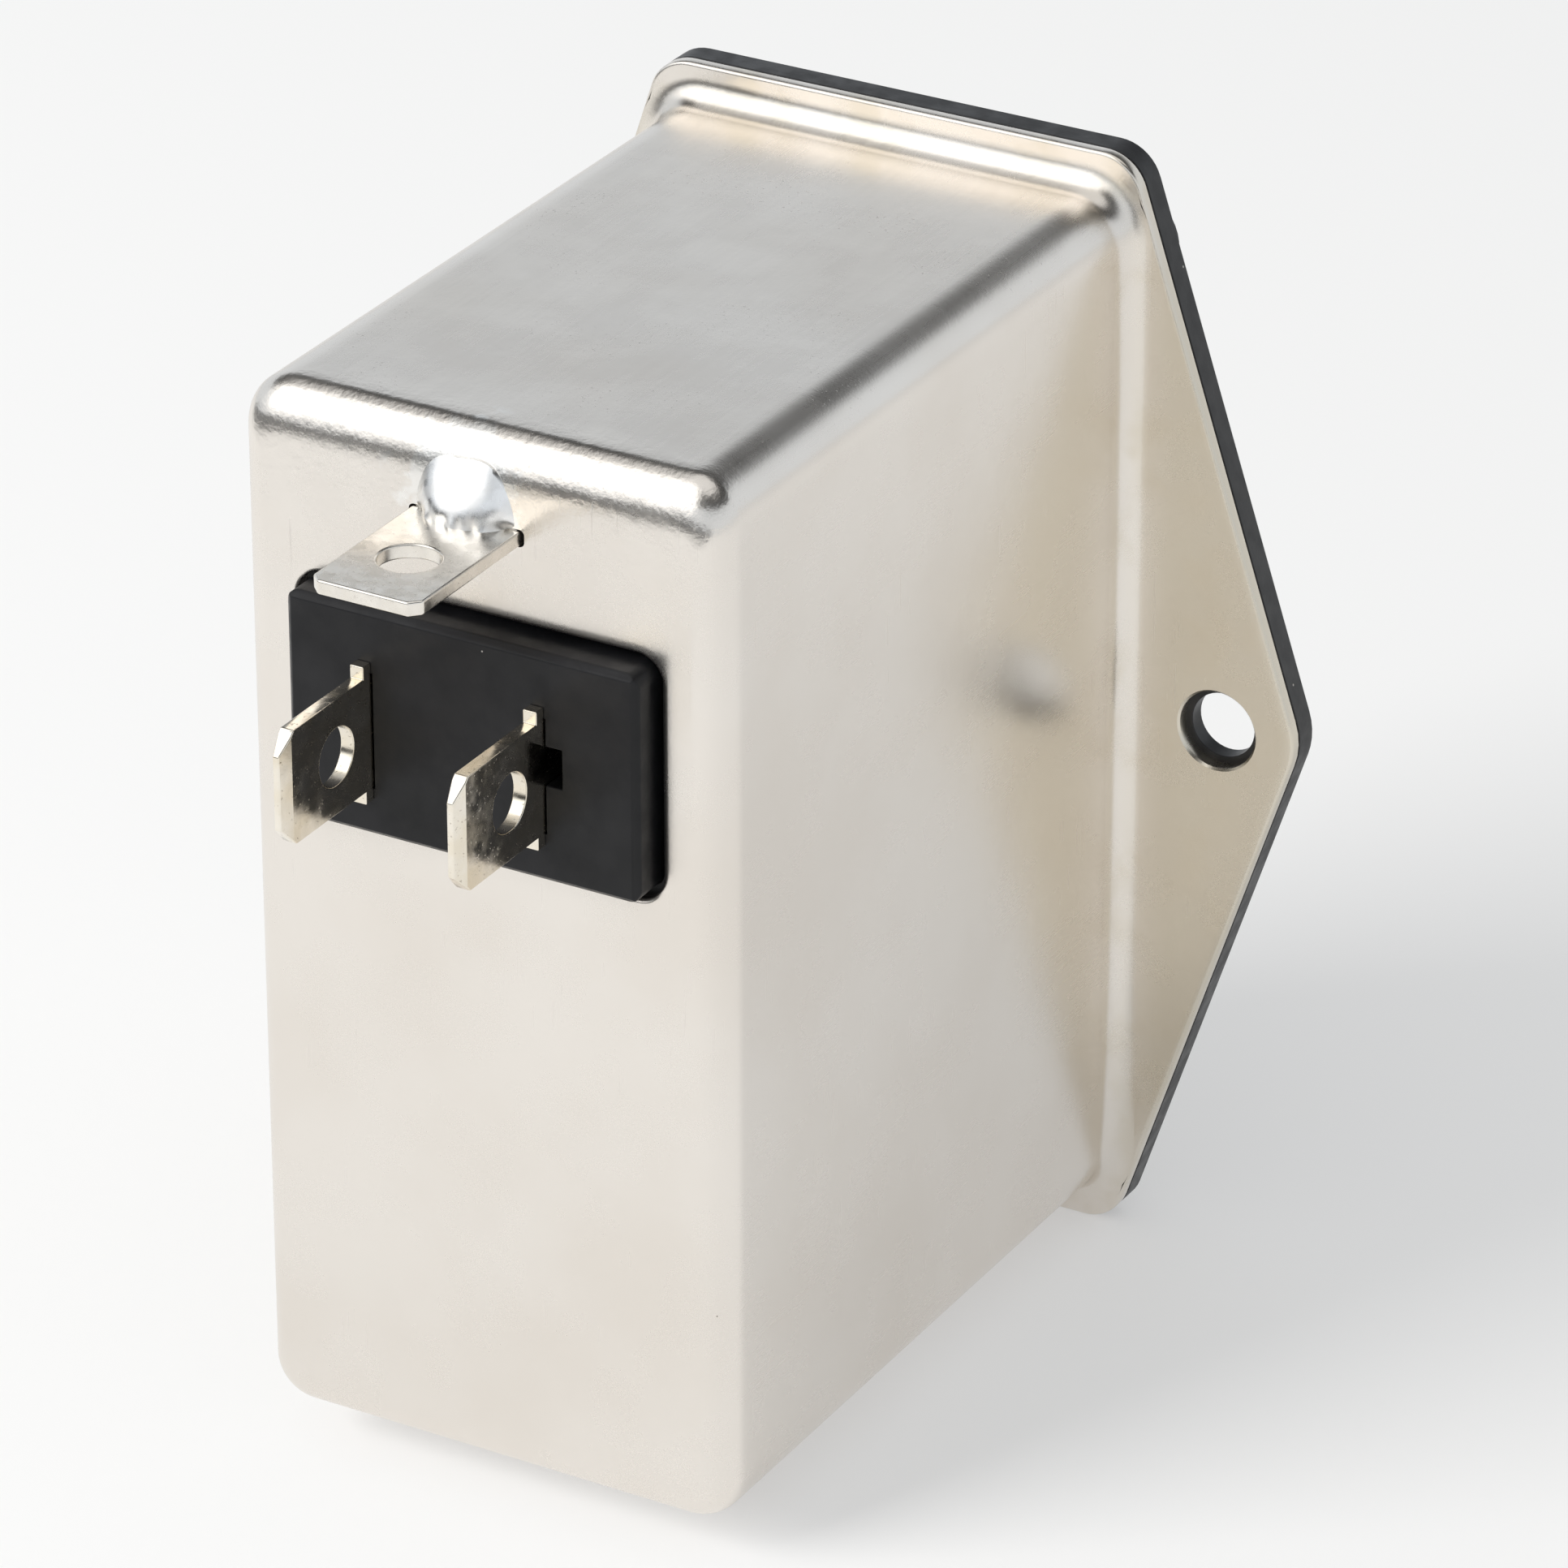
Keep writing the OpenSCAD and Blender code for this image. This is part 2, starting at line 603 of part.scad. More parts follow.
// Front moulding: plate, raised pad, skirt, inlet well, drawer pocket, switch opening, posts
module front_housing() {
    well_low = well_z - well_h / 2;
    pocket_low = drawer_z - pocket_h / 2;
    color("dimgray") difference() {
        union() {
            difference() {
                union() {
                    along_y(plate_y, -sheet_t) flange_plan();
                    along_y(pad_y, plate_mid) rounded_plan(pad_w, pad_h, pad_r);
                    along_y(plate_mid, skirt_back) rounded_plan(skirt_w, skirt_h, skirt_r);
                }
                along_y(pad_back, skirt_back + cut)
                    rounded_plan(skirt_w - 2 * skirt_wall, skirt_h - 2 * skirt_wall, skirt_in_r);
            }
            translate([0, 0, well_z])
                along_y(pad_back - eps, floor_back)
                    square([skirt_w, well_h + 2 * well_wall], center = true);
            translate([0, 0, (well_low + pocket_low - well_wall) / 2])
                along_y(pad_back - eps, pocket_end)
                    square([skirt_w, well_low - pocket_low + well_wall], center = true);
            translate([0, 0, switch_z])
                along_y(pad_back - eps, skirt_back)
                    square([switch_hole_w + 2 * switch_wall, switch_hole_h + 2 * switch_wall],
                        center = true);
            for (sx = [-1, 1], pz = [post_low, post_high])
                translate([sx * post_x, pad_back - eps, pz])
                    rotate([-90, 0, 0]) cylinder(h = board_y - pad_back + eps, d = post_d);
        }
        translate([0, 0, well_z]) along_y(pad_y - cut, well_back)
            well_plan(well_w, well_h, well_bevel);
        translate([0, 0, drawer_z]) along_y(pad_y - cut, pocket_back)
            square([pocket_w, pocket_h], center = true);
        translate([0, 0, switch_z]) along_y(pad_y - cut, switch_back)
            square([switch_hole_w, switch_hole_h], center = true);
        for (sx = [-1, 1]) {
            translate([sx * pin_pitch / 2, 0, live_z]) along_y(well_back - cut, floor_back + cut)
                square([pin_t + 2 * slot_gap, pin_h + 2 * slot_gap], center = true);
            translate([sx * tail_x, 0, drawer_z]) along_y(pocket_back - cut, pocket_end + cut)
                square([contact_t + 2 * slot_gap, contact_h + 2 * slot_gap], center = true);
            translate([sx * screw_pitch / 2, plate_y - cut, 0])
                rotate([-90, 0, 0]) cylinder(h = plate_t + 2 * cut, d = moulding_hole_d);
            translate([sx * screw_pitch / 2, plate_y - eps, 0])
                rotate([-90, 0, 0])
                    cylinder(h = hole_bevel, d1 = moulding_hole_d + 2 * hole_bevel,
                        d2 = moulding_hole_d);
        }
        translate([0, 0, earth_z]) along_y(well_back - cut, floor_back + cut)
            square([pin_t + 2 * slot_gap, pin_h + 2 * slot_gap], center = true);
    }
}

// Inlet pin with a bevelled tip and a thinner tail
module inlet_pin(free) {
    tip = well_back - free;
    b = pin_bevel;
    color("silver") difference() {
        union() {
            along_x(pin_t) polygon([[tip + b, -pin_h / 2], [floor_back, -pin_h / 2],
                [floor_back, pin_h / 2], [tip + b, pin_h / 2], [tip, pin_h / 2 - b],
                [tip, -pin_h / 2 + b]]);
            translate([-tail_w / 2, floor_back - eps, -tail_h / 2])
                cube([tail_w, pin_tail + eps, tail_h]);
        }
        for (side = [0, 1]) mirror([side, 0, 0])
            translate([0, 0, -pin_h]) linear_extrude(height = 2 * pin_h)
                polygon([[pin_t / 2 - b / 2, tip - eps], [pin_t / 2 + eps, tip - eps],
                    [pin_t / 2 + eps, tip + b]]);
    }
}

module line_pin() {
    translate([pin_pitch / 2, 0, live_z]) inlet_pin(pin_free);
}

module neutral_pin() {
    translate([-pin_pitch / 2, 0, live_z]) inlet_pin(pin_free);
}

module earth_pin() {
    translate([0, 0, earth_z]) inlet_pin(pin_free + earth_extra);
}

// Switch body with a rim, a chamber for the rocker and slots for four lugs
module switch_body() {
    chamber_back = pivot_y + chamber_in;
    color("dimgray") translate([0, 0, switch_z]) difference() {
        union() {
            along_y(pad_y - rim_t, pad_y)
                rounded_plan(switch_w + 2 * rim_lap, switch_h + 2 * rim_lap, rim_r);
            along_y(pad_y - eps, switch_back) square([switch_w, switch_h], center = true);
        }
        along_y(pad_y - rim_t - cut, chamber_back)
            square([chamber_w, chamber_h], center = true);
        translate([0, pivot_y, 0])
            cylinder(h = switch_h + 2 * cut, d = pivot_d + 2 * pivot_gap, center = true);
        for (sx = [-1, 1], sz = [-1, 1])
            translate([sx * switch_col / 2, 0, sz * switch_row / 2])
                along_y(switch_back - lug_in, switch_back + cut)
                    square([lug_t + 2 * slot_gap, lug_w + 2 * slot_gap], center = true);
    }
}

// Rocker with two dished wings and two pivot pins, lying tilted to one side
module rocker() {
    front = -rim_t - pivot_in;
    end = rocker_r + cut;
    color("firebrick") translate([0, pivot_y, switch_z]) rotate([0, 0, rocker_tilt]) {
        linear_extrude(height = rocker_h, center = true) difference() {
            intersection() {
                circle(r = rocker_r);
                polygon([[-end, front - rocker_proud], [0, front - rocker_crest],
                    [end, front - rocker_proud], [end, wing_in], [2 * hub_in, hub_in],
                    [-2 * hub_in, hub_in], [-end, wing_in]]);
            }
            for (sx = [-1, 1])
                translate([sx * dish_x, front - rocker_proud + dish_d - dish_r])
                    circle(r = dish_r, $fn = 180);
        }
        cylinder(h = switch_h - 2 * pivot_short, d = pivot_d, center = true);
    }
}

// Flat lug of the switch
module switch_lug(sx, sz) {
    color("silver") translate([sx * switch_col / 2, 0, switch_z + sz * switch_row / 2])
        along_y(switch_back - lug_in, lug_end) square([lug_t, lug_w], center = true);
}

module line_lug_in() {
    switch_lug(1, -1);
}

module line_lug_out() {
    switch_lug(1, 1);
}

module neutral_lug_in() {
    switch_lug(-1, -1);
}

module neutral_lug_out() {
    switch_lug(-1, 1);
}

// Fuse drawer: front with a finger groove, and a cradle for each of two fuses
module fuse_drawer() {
    room = fuse_l + 2 * fuse_gap;
    bore = cap_d + 2 * fuse_gap;
    color("gray") translate([0, 0, drawer_z]) difference() {
        along_y(pad_y - drawer_proud, pad_y + drawer_l)
            square([drawer_w, drawer_h], center = true);
        translate([0, spare_y, 0]) rotate([0, 90, 0])
            cylinder(h = room, d = bore, center = true);
        translate([0, 0, bore / 2]) along_y(spare_y - bore / 2, spare_y + bore / 2)
            square([room, bore], center = true);
        translate([0, working_y, 0]) rotate([0, 90, 0])
            cylinder(h = room, d = bore, center = true);
        along_y(working_y, pad_y + drawer_l + cut) square([room, bore], center = true);
        for (sz = [-1, 1]) translate([0, pad_y - drawer_proud, sz * drawer_h / 2])
            rotate([0, 90, 0]) cylinder(h = groove_l, r = groove_d, center = true);
    }
}

// Fuse glass between its caps
module fuse_glass(y) {
    color("lightcyan") translate([0, y, drawer_z]) rotate([0, 90, 0]) difference() {
        cylinder(h = fuse_l - 2 * glass_short, d = glass_d, center = true);
        cylinder(h = fuse_l, d = glass_d - 2 * glass_t, center = true);
    }
}

// Fuse cap, a cup over the end of the glass
module fuse_cap(y, side) {
    color("silver") translate([0, y, drawer_z]) mirror([side < 0 ? 1 : 0, 0, 0])
        rotate([0, 90, 0]) difference() {
            translate([0, 0, fuse_l / 2 - cap_l]) cylinder(h = cap_l, d = cap_d);
            translate([0, 0, fuse_l / 2 - cap_l - cut])
                cylinder(h = cap_l - cap_end + cut, d = glass_d + 2 * glass_gap);
        }
}

module working_glass() {
    fuse_glass(working_y);
}

module working_cap_left() {
    fuse_cap(working_y, 1);
}

module working_cap_right() {
    fuse_cap(working_y, -1);
}

module spare_glass() {
    fuse_glass(spare_y);
}

module spare_cap_left() {
    fuse_cap(spare_y, 1);
}

module spare_cap_right() {
    fuse_cap(spare_y, -1);
}

// Spring contact behind one end of the working fuse, with a tail through the pocket's back
module fuse_contact(side) {
    color("goldenrod") translate([side * tail_x, 0, drawer_z]) {
        translate([0, contact_y, -contact_h / 2])
            translate([-contact_w / 2, 0, 0]) cube([contact_w, contact_t, contact_h]);
        translate([-contact_t / 2, contact_y, -contact_h / 2])
            cube([contact_t, pocket_end + contact_tail - contact_y, contact_h]);
    }
}

module contact_in() {
    fuse_contact(1);
}

module contact_out() {
    fuse_contact(-1);
}

// Moulded block in the can's window, held by a lip behind the back wall
module terminal_block() {
    w = block_w;
    h = block_h;
    b = block_bevel;
    color("dimgray") difference() {
        translate([0, 0, block_z]) union() {
            along_y(back_in - eps, block_face) rounded_plan(w, h, block_r);
            along_y(back_in - lip_t, back_in)
                rounded_plan(can_w - 2 * can_back_r - 2 * lip_gap, window_h + 2 * block_lip, lip_r);
            along_y(block_back, back_in - lip_t + eps) rounded_plan(w, h, block_r);
        }
        translate([0, 0, block_z]) {
            for (side = [0, 1]) mirror([side, 0, 0])
                translate([0, 0, -h]) linear_extrude(height = 2 * h)
                    polygon([[w / 2 - b, block_face + eps], [w / 2 + eps, block_face + eps],
                        [w / 2 + eps, block_face - b]]);
            for (side = [0, 1]) mirror([0, 0, side])
                along_x(2 * w) polygon([[block_face + eps, h / 2 - b],
                    [block_face + eps, h / 2 + eps], [block_face - b, h / 2 + eps]]);
        }
        for (x = [line_x, -neutral_x]) translate([x, 0, blade_z])
            along_y(block_back - cut, block_face + cut)
                square([blade_t + 2 * slot_gap, blade_w + 2 * slot_gap], center = true);
        translate([-neutral_x - blade_t / 2 - slot_gap - vent_w / 2 + eps, 0, blade_z + vent_up])
            along_y(block_face - vent_d, block_face + cut)
                square([vent_w + 2 * eps, vent_h], center = true);
    }
}

// Drawing of a tab seen flat: bevelled tip at the far end, w wide, from y0 to y1
module tab_plan(w, y0, y1, bevel) {
    polygon([[y0, -w / 2], [y1 - bevel, -w / 2], [y1, -w / 2 + bevel], [y1, w / 2 - bevel],
        [y1 - bevel, w / 2], [y0, w / 2]]);
}

// Wedge that thins one face of a tab of thickness t near its tip
module lead_in_cut(t, tip, w) {
    linear_extrude(height = 2 * w, center = true)
        polygon([[t / 2 + eps, tip - lead_in], [t / 2 + eps, tip + eps],
            [t / 2 - lead_in_t, tip + eps]]);
}

// Terminal blade with shoulders, hole, bevelled tip and a narrow tail to the board
module terminal_blade() {
    color("silver") translate([0, 0, blade_z]) difference() {
        along_x(blade_t) {
            tab_plan(blade_w, block_back, blade_tip, blade_bevel);
            translate([block_face, -blade_w / 2 - shoulder_h])
                square([shoulder_l, blade_w + 2 * shoulder_h]);
            translate([board_y - tail_through, -blade_tail_w / 2])
                square([block_back - board_y + tail_through + eps, blade_tail_w]);
        }
        translate([0, blade_tip - blade_hole_in, 0])
            rotate([0, 90, 0]) cylinder(h = 4 * blade_t, d = blade_hole_d, center = true);
        for (side = [0, 1]) mirror([side, 0, 0]) lead_in_cut(blade_t, blade_tip, blade_w);
    }
}

module line_blade() {
    translate([line_x, 0, 0]) terminal_blade();
}

module neutral_blade() {
    translate([-neutral_x, 0, 0]) terminal_blade();
}

// Flat earth tab through its slot in the can's back wall
module earth_tab() {
    color("silver") translate([tab_x, 0, tab_mid]) difference() {
        rotate([0, 90, 0]) along_x(tab_t) tab_plan(tab_w, tab_end, tab_tip, blade_bevel);
        translate([0, tab_tip - tab_hole_in, 0])
            cylinder(h = 4 * tab_t, d = blade_hole_d, center = true);
        for (side = [0, 1]) mirror([0, 0, side])
            rotate([0, -90, 0]) lead_in_cut(tab_t, tab_tip, tab_w);
    }
}

// Hollow fillet of solder between the earth tab and the can's back
module earth_solder() {
    mid = [solder_l / 2, solder_h / 2];
    out = toward([0, 0], [solder_h, solder_l]);
    reach = sqrt(solder_r * solder_r - (solder_l * solder_l + solder_h * solder_h) / 4);
    color("whitesmoke") translate([tab_x, can_d, tab_top]) along_x(solder_w)
        difference() {
            polygon([[0, 0], [solder_l, 0], [0, solder_h]]);
            translate(mid + out * (reach + solder_edge)) circle(r = solder_r);
        }
}

// Circuit board with a slot for each blade's tail
module circuit_board() {
    color("darkgreen") difference() {
        translate([0, 0, board_mid])
            along_y(board_y, board_back) rounded_plan(board_w, board_h, board_r);
        for (x = [line_x, -neutral_x]) translate([x, 0, blade_z])
            along_y(board_y - cut, board_back + cut)
                square([blade_t + 2 * lead_hole_gap, blade_tail_w + 2 * lead_hole_gap],
                    center = true);
    }
}

// Coated ring of the choke
module choke_ring() {
    r0 = ring_id / 2;
    r1 = ring_od / 2;
    color("darkslategray") translate([0, ring_mid, ring_z]) rotate([-90, 0, 0])
        rotate_extrude() translate([(r0 + r1) / 2, 0])
            rounded_plan(r1 - r0, ring_t, ring_r);
}

// Points along a winding: it goes round the ring's section once a turn while it
// moves on along the ring, and both ends run straight to the board
ring_half = ring_band / 2;
wind_a = ring_half + wire_gap + wire_d / 2;
wind_b = ring_t / 2 + wire_gap + wire_d / 2;
wind_steps = 20;
wind_reach = (ring_id / 2 - wire_gap - wire_d / 2) * wind_arc * PI / 180;
turns = floor(wind_reach / (wire_d + turn_gap));
function sgn(v) = v < 0 ? -1 : 1;
function soft(v) = sgn(v) * pow(abs(v), 0.42);
function wind_angle(i) = -wind_arc / 2 + wind_arc * i / (turns * wind_steps);
function wind_point(i) =
    let (f = 360 * i / wind_steps, a = wind_angle(i),
        m = (ring_od + ring_id) / 4 + wind_a * soft(cos(f)))
    [m * sin(a), wind_b * soft(sin(f)), m * cos(a)];
function winding_path() =
    let (n = turns * wind_steps, a = wind_point(0), z = wind_point(n),
        low = board_back - ring_mid + wire_d / 2)
    concat([[a[0], low, a[2]]], [for (i = [0:n]) wind_point(i)], [[z[0], low, z[2]]]);

// Wire of diameter d along a list of points, with eight sides
module wire_along(path, d) {
    n = len(path);
    sides = 8;
    way = [for (i = [0:n - 1]) toward(path[max(i - 1, 0)], path[min(i + 1, n - 1)])];
    rings = [for (i = [0:n - 1])
        let (u = toward([0, 0, 0], cross(way[i], wheel(path[i]))), v = cross(way[i], u))
        for (k = [0:sides - 1])
            path[i] + d / 2 * (cos(360 * k / sides) * u + sin(360 * k / sides) * v)];
    polyhedron(points = rings, faces = concat(
        [[for (k = [0:sides - 1]) k]],
        [for (i = [0:n - 2], k = [0:sides - 1])
            let (a = i * sides + k, b = i * sides + (k + 1) % sides)
            [a, a + sides, b + sides, b]],
        [[for (k = [sides - 1:-1:0]) (n - 1) * sides + k]]), convexity = 10);
}

// Direction along the ring at a point of the winding, which keeps the wire from twisting
function wheel(p) = toward([0, 0, 0], [p[2], 0, -p[0]]);

module winding(side) {
    color("peru") translate([0, ring_mid, ring_z]) mirror([0, 0, side < 0 ? 1 : 0])
        wire_along(winding_path(), wire_d);
}

module line_winding() {
    winding(1);
}

module neutral_winding() {
    winding(-1);
}

// Bar that keeps the two windings apart, inside the ring
module choke_divider() {
    color("ivory") translate([0, ring_mid, ring_z])
        cube([ring_id - 2 * divider_gap, ring_t, divider_t], center = true);
}

// Boxed capacitor between line and neutral
module main_capacitor() {
    color("gold") translate([-x_cap_w / 2, board_back, x_cap_z - x_cap_t / 2])
        cube([x_cap_w, x_cap_h, x_cap_t]);
}

// Disc capacitor standing on its two leads
module disc_capacitor(side) {
    mid = board_back + disc_lead + disc_d / 2;
    color("steelblue") translate([side * disc_x, 0, disc_z]) {
        translate([0, mid, 0]) rotate([0, 90, 0]) rotate_extrude()
            intersection() {
                union() {
                    square([disc_d / 2 - disc_t / 3, disc_t / 2]);
                    translate([0, -disc_t / 2]) square([disc_d / 2 - disc_t / 3, disc_t]);
                    translate([disc_d / 2 - disc_t / 3, 0]) circle(r = disc_t / 3);
                }
                translate([0, -disc_t / 2]) square([disc_d / 2, disc_t]);
            }
        for (sz = [-1, 1]) translate([0, board_back, sz * (disc_d / 2 - disc_in)])
            rotate([-90, 0, 0]) cylinder(h = disc_d / 2, d = thin_d);
    }
}

module disc_capacitor_left() {
    disc_capacitor(1);
}

module disc_capacitor_right() {
    disc_capacitor(-1);
}

// Resistor across the main capacitor, on two bent leads
module bleed_resistor() {
    y = board_back + resistor_off + resistor_d / 2;
    reach = resistor_l / 2 + resistor_lead;
    color("tan") translate([(line_x - neutral_x) / 2, 0, resistor_z]) {
        translate([0, y, 0]) rotate([0, 90, 0]) {
            cylinder(h = resistor_l, d = resistor_d, center = true);
            cylinder(h = 2 * reach, d = thin_d, center = true);
        }
        for (sx = [-1, 1]) translate([sx * reach, 0, 0]) {
            translate([0, y, 0]) sphere(d = thin_d);
            translate([0, board_back, 0]) rotate([-90, 0, 0])
                cylinder(h = y - board_back, d = thin_d);
        }
    }
}

// Insulated lead that runs straight between the given corners
module lead(p) {
    for (i = [0:len(p) - 2]) {
        step = p[i + 1] - p[i];
        flat = norm([step[0], step[1]]);
        translate(p[i]) rotate([0, atan2(flat, step[2]), atan2(step[1], step[0])])
            cylinder(h = norm(step), d = lead_d);
        if (i > 0) translate(p[i]) sphere(d = lead_d);
    }
}

module line_lead() {
    color("brown") lead([[tail_x, tail_end, live_z], [tail_x, lead_y, live_z],
        [tail_x, lead_y, drawer_z], [tail_x, pocket_end + contact_tail, drawer_z]]);
}

module fused_lead() {
    z = switch_z - switch_row / 2;
    color("brown") lead([[-tail_x, pocket_end + contact_tail, drawer_z],
        [-tail_x, lead_y, drawer_z], [fused_x, lead_y, drawer_z], [fused_x, lead_y, z],
        [switch_col / 2, lead_y, z], [switch_col / 2, lug_end, z]]);
}

module neutral_lead() {
    z = switch_z - switch_row / 2;
    color("royalblue") lead([[-tail_x, tail_end, live_z], [-tail_x, lead_y, live_z],
        [-tail_x, lead_y, z], [-switch_col / 2, lead_y, z], [-switch_col / 2, lug_end, z]]);
}

module line_feed() {
    z = switch_z + switch_row / 2;
    color("brown") lead([[switch_col / 2, lug_end, z], [switch_col / 2, board_y, z]]);
}

module neutral_feed() {
    z = switch_z + switch_row / 2;
    color("royalblue") lead([[-switch_col / 2, lug_end, z], [-switch_col / 2, board_y, z]]);
}

module earth_lead() {
    color("yellowgreen") lead([[0, tail_end, earth_z], [0, lead_y, earth_z],
        [0, lead_y, tab_mid], [0, tab_end, tab_mid]]);
}

// Thin sleeve between the board and the can
module insulating_sleeve() {
    r = can_edge_r - sheet_t - sleeve_gap;
    y = floor_back + sleeve_off;
    color("beige") along_y(y, y + sleeve_l) difference() {
        rounded_plan(sleeve_w, sleeve_h, r);
        rounded_plan(sleeve_w - 2 * sleeve_t, sleeve_h - 2 * sleeve_t, r - sleeve_t);
    }
}

shield_can();
front_housing();
line_pin();
neutral_pin();
earth_pin();
switch_body();
rocker();
line_lug_in();
line_lug_out();
neutral_lug_in();
neutral_lug_out();
fuse_drawer();
working_glass();
working_cap_left();
working_cap_right();
spare_glass();
spare_cap_left();
spare_cap_right();
contact_in();
contact_out();
terminal_block();
line_blade();
neutral_blade();
earth_tab();
earth_solder();
circuit_board();
choke_ring();
line_winding();
neutral_winding();
choke_divider();
main_capacitor();
disc_capacitor_left();
disc_capacitor_right();
bleed_resistor();
line_lead();
fused_lead();
neutral_lead();
line_feed();
neutral_feed();
earth_lead();
insulating_sleeve();
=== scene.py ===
import json
import math
import bmesh
import bpy
import numpy as np
from mathutils import Matrix, Vector


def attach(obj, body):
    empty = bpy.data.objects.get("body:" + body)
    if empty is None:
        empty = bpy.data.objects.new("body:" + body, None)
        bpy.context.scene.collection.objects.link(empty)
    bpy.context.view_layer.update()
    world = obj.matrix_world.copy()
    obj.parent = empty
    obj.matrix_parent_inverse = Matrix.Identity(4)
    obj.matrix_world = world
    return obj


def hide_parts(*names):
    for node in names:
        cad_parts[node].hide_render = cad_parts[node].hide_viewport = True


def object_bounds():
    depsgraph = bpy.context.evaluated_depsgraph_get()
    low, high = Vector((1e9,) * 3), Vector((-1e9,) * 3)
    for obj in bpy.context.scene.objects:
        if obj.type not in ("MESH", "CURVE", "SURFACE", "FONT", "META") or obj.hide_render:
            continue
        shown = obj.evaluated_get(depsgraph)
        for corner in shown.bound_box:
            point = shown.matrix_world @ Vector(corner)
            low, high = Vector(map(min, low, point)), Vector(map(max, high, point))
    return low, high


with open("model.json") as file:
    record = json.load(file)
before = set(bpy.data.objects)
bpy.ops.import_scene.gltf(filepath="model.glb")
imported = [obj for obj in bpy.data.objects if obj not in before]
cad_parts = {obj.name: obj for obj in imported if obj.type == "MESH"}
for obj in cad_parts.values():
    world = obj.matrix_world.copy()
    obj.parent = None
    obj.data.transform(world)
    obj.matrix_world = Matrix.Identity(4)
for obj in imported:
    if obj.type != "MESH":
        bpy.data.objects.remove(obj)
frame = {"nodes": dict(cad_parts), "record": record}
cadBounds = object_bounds()
nodes = frame["nodes"]
bodies = frame["record"]["behaviour"]["bodies"]
mm = 0.001

can = {
    "sheet": 0.8,
    "edgeRadius": 2.6,
    "backRound": {"side": 1.7, "top": 2.9, "low": 1.9, "deep": 2.0},  # from the back plate to the walls
    "bendRadius": 1.45,
    "cornerRadius": 2.5,  # the flange's four corners
    "tipRadius": 4.0,  # its two tips
    "topHalf": 14.25,  # half its top edge
    "tipHalf": 24.8,  # from the middle to where its slopes would meet
    "flangeHalf": 31.85,
    "halfWidth": 14.1,
    "halfHeight": 29.65,
    "depth": 42.1,
    "cutRound": 0.18,  # rounding of the flange's cut edge
    "window": {"x": 0.0, "z": 13.1, "halfWidth": 10.65, "halfHeight": 6.8, "radius": 1.5, "round": 0.28},
    "slot": {"x": 0.5, "z": 24.6, "width": 6.7, "height": 0.95, "radius": 0.3},
    "hole": {"x": 20.0, "radius": 2.25, "bevel": 0.12},
    "places": {"side": 90, "top": 48, "corner": 12},  # round a quarter of each outline
    "rings": {"back": 18, "backRound": 15, "wall": 58, "bend": 9, "flange": 14, "edge": 5,
              "inFlange": 6, "inWall": 10, "inBack": 7},
    "cutRoom": {"in": 2, "out": 1},  # how far a cutter goes past the sheet
}


def linked(name, mesh, body, material):
    # puts a finished mesh in the scene, on the body that carries it
    piece = bpy.data.objects.new(name, mesh)
    bpy.context.scene.collection.objects.link(piece)
    mesh.materials.clear()
    mesh.materials.append(material)
    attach(piece, body)
    return piece


def gridMesh(name, points):
    # points[i, j] is place j on closed ring i, in millimetres; neighbours are joined by quads,
    # and places that coincide become one
    rings, count, _ = points.shape
    i = np.arange(rings - 1)[:, None]
    j = np.arange(count)[None, :]
    after = (j + 1) % count
    corners = [i * count + j, i * count + after, (i + 1) * count + after, (i + 1) * count + j]
    quads = np.stack(corners, -1).reshape(-1, 4)
    mesh = bpy.data.meshes.new(name)
    mesh.from_pydata(points.reshape(-1, 3) * mm, [], quads)
    tidy = bmesh.new()
    tidy.from_mesh(mesh)
    bmesh.ops.remove_doubles(tidy, verts=tidy.verts, dist=1e-7)
    bmesh.ops.recalc_face_normals(tidy, faces=tidy.faces)
    tidy.to_mesh(mesh)
    tidy.free()
    return mesh


def smoothed(mesh, angle=35):
    # smooth shading that stops at edges sharper than the angle
    mesh.shade_smooth()
    mesh.set_sharp_from_angle(angle=math.radians(angle))
    return mesh


def roundEdges(piece, width, segments):
    # rounds the sharp edges by width, in millimetres
    bevel = piece.modifiers.new("roundedEdges", "BEVEL")
    bevel.width = width * mm
    bevel.segments = segments
    bevel.limit_method = "ANGLE"
    bevel.angle_limit = math.radians(35)
    bevel.use_clamp_overlap = True
    bevel.harden_normals = True


def softened(part):
    # a welded copy of a solid whose sharp edges are rounded by the part's edge, in millimetres
    mesh = nodes[part["node"]].data.copy()
    mesh.name = part["name"]
    tidy = bmesh.new()
    tidy.from_mesh(mesh)
    bmesh.ops.remove_doubles(tidy, verts=tidy.verts, dist=2e-6)
    bmesh.ops.dissolve_limit(tidy, angle_limit=math.radians(0.6), verts=tidy.verts, edges=tidy.edges)
    tidy.to_mesh(mesh)
    tidy.free()
    body = next(b for b, members in bodies.items() if part["node"] in members)
    piece = linked(part["name"], smoothed(mesh), body, part["finish"])
    roundEdges(piece, part["edge"], part.get("segments", 2))
    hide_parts(part["node"])
    return piece


def addNode(tree, kind, inputs, **settings):
    # a shader node whose inputs are numbers, colours or the sockets that feed them
    made = tree.nodes.new("ShaderNode" + kind)
    for key, value in settings.items():
        setattr(made, key, value)
    for key, value in inputs.items():
        if isinstance(value, bpy.types.NodeSocket):
            tree.links.new(value, made.inputs[key])
        else:
            made.inputs[key].default_value = value
    return made


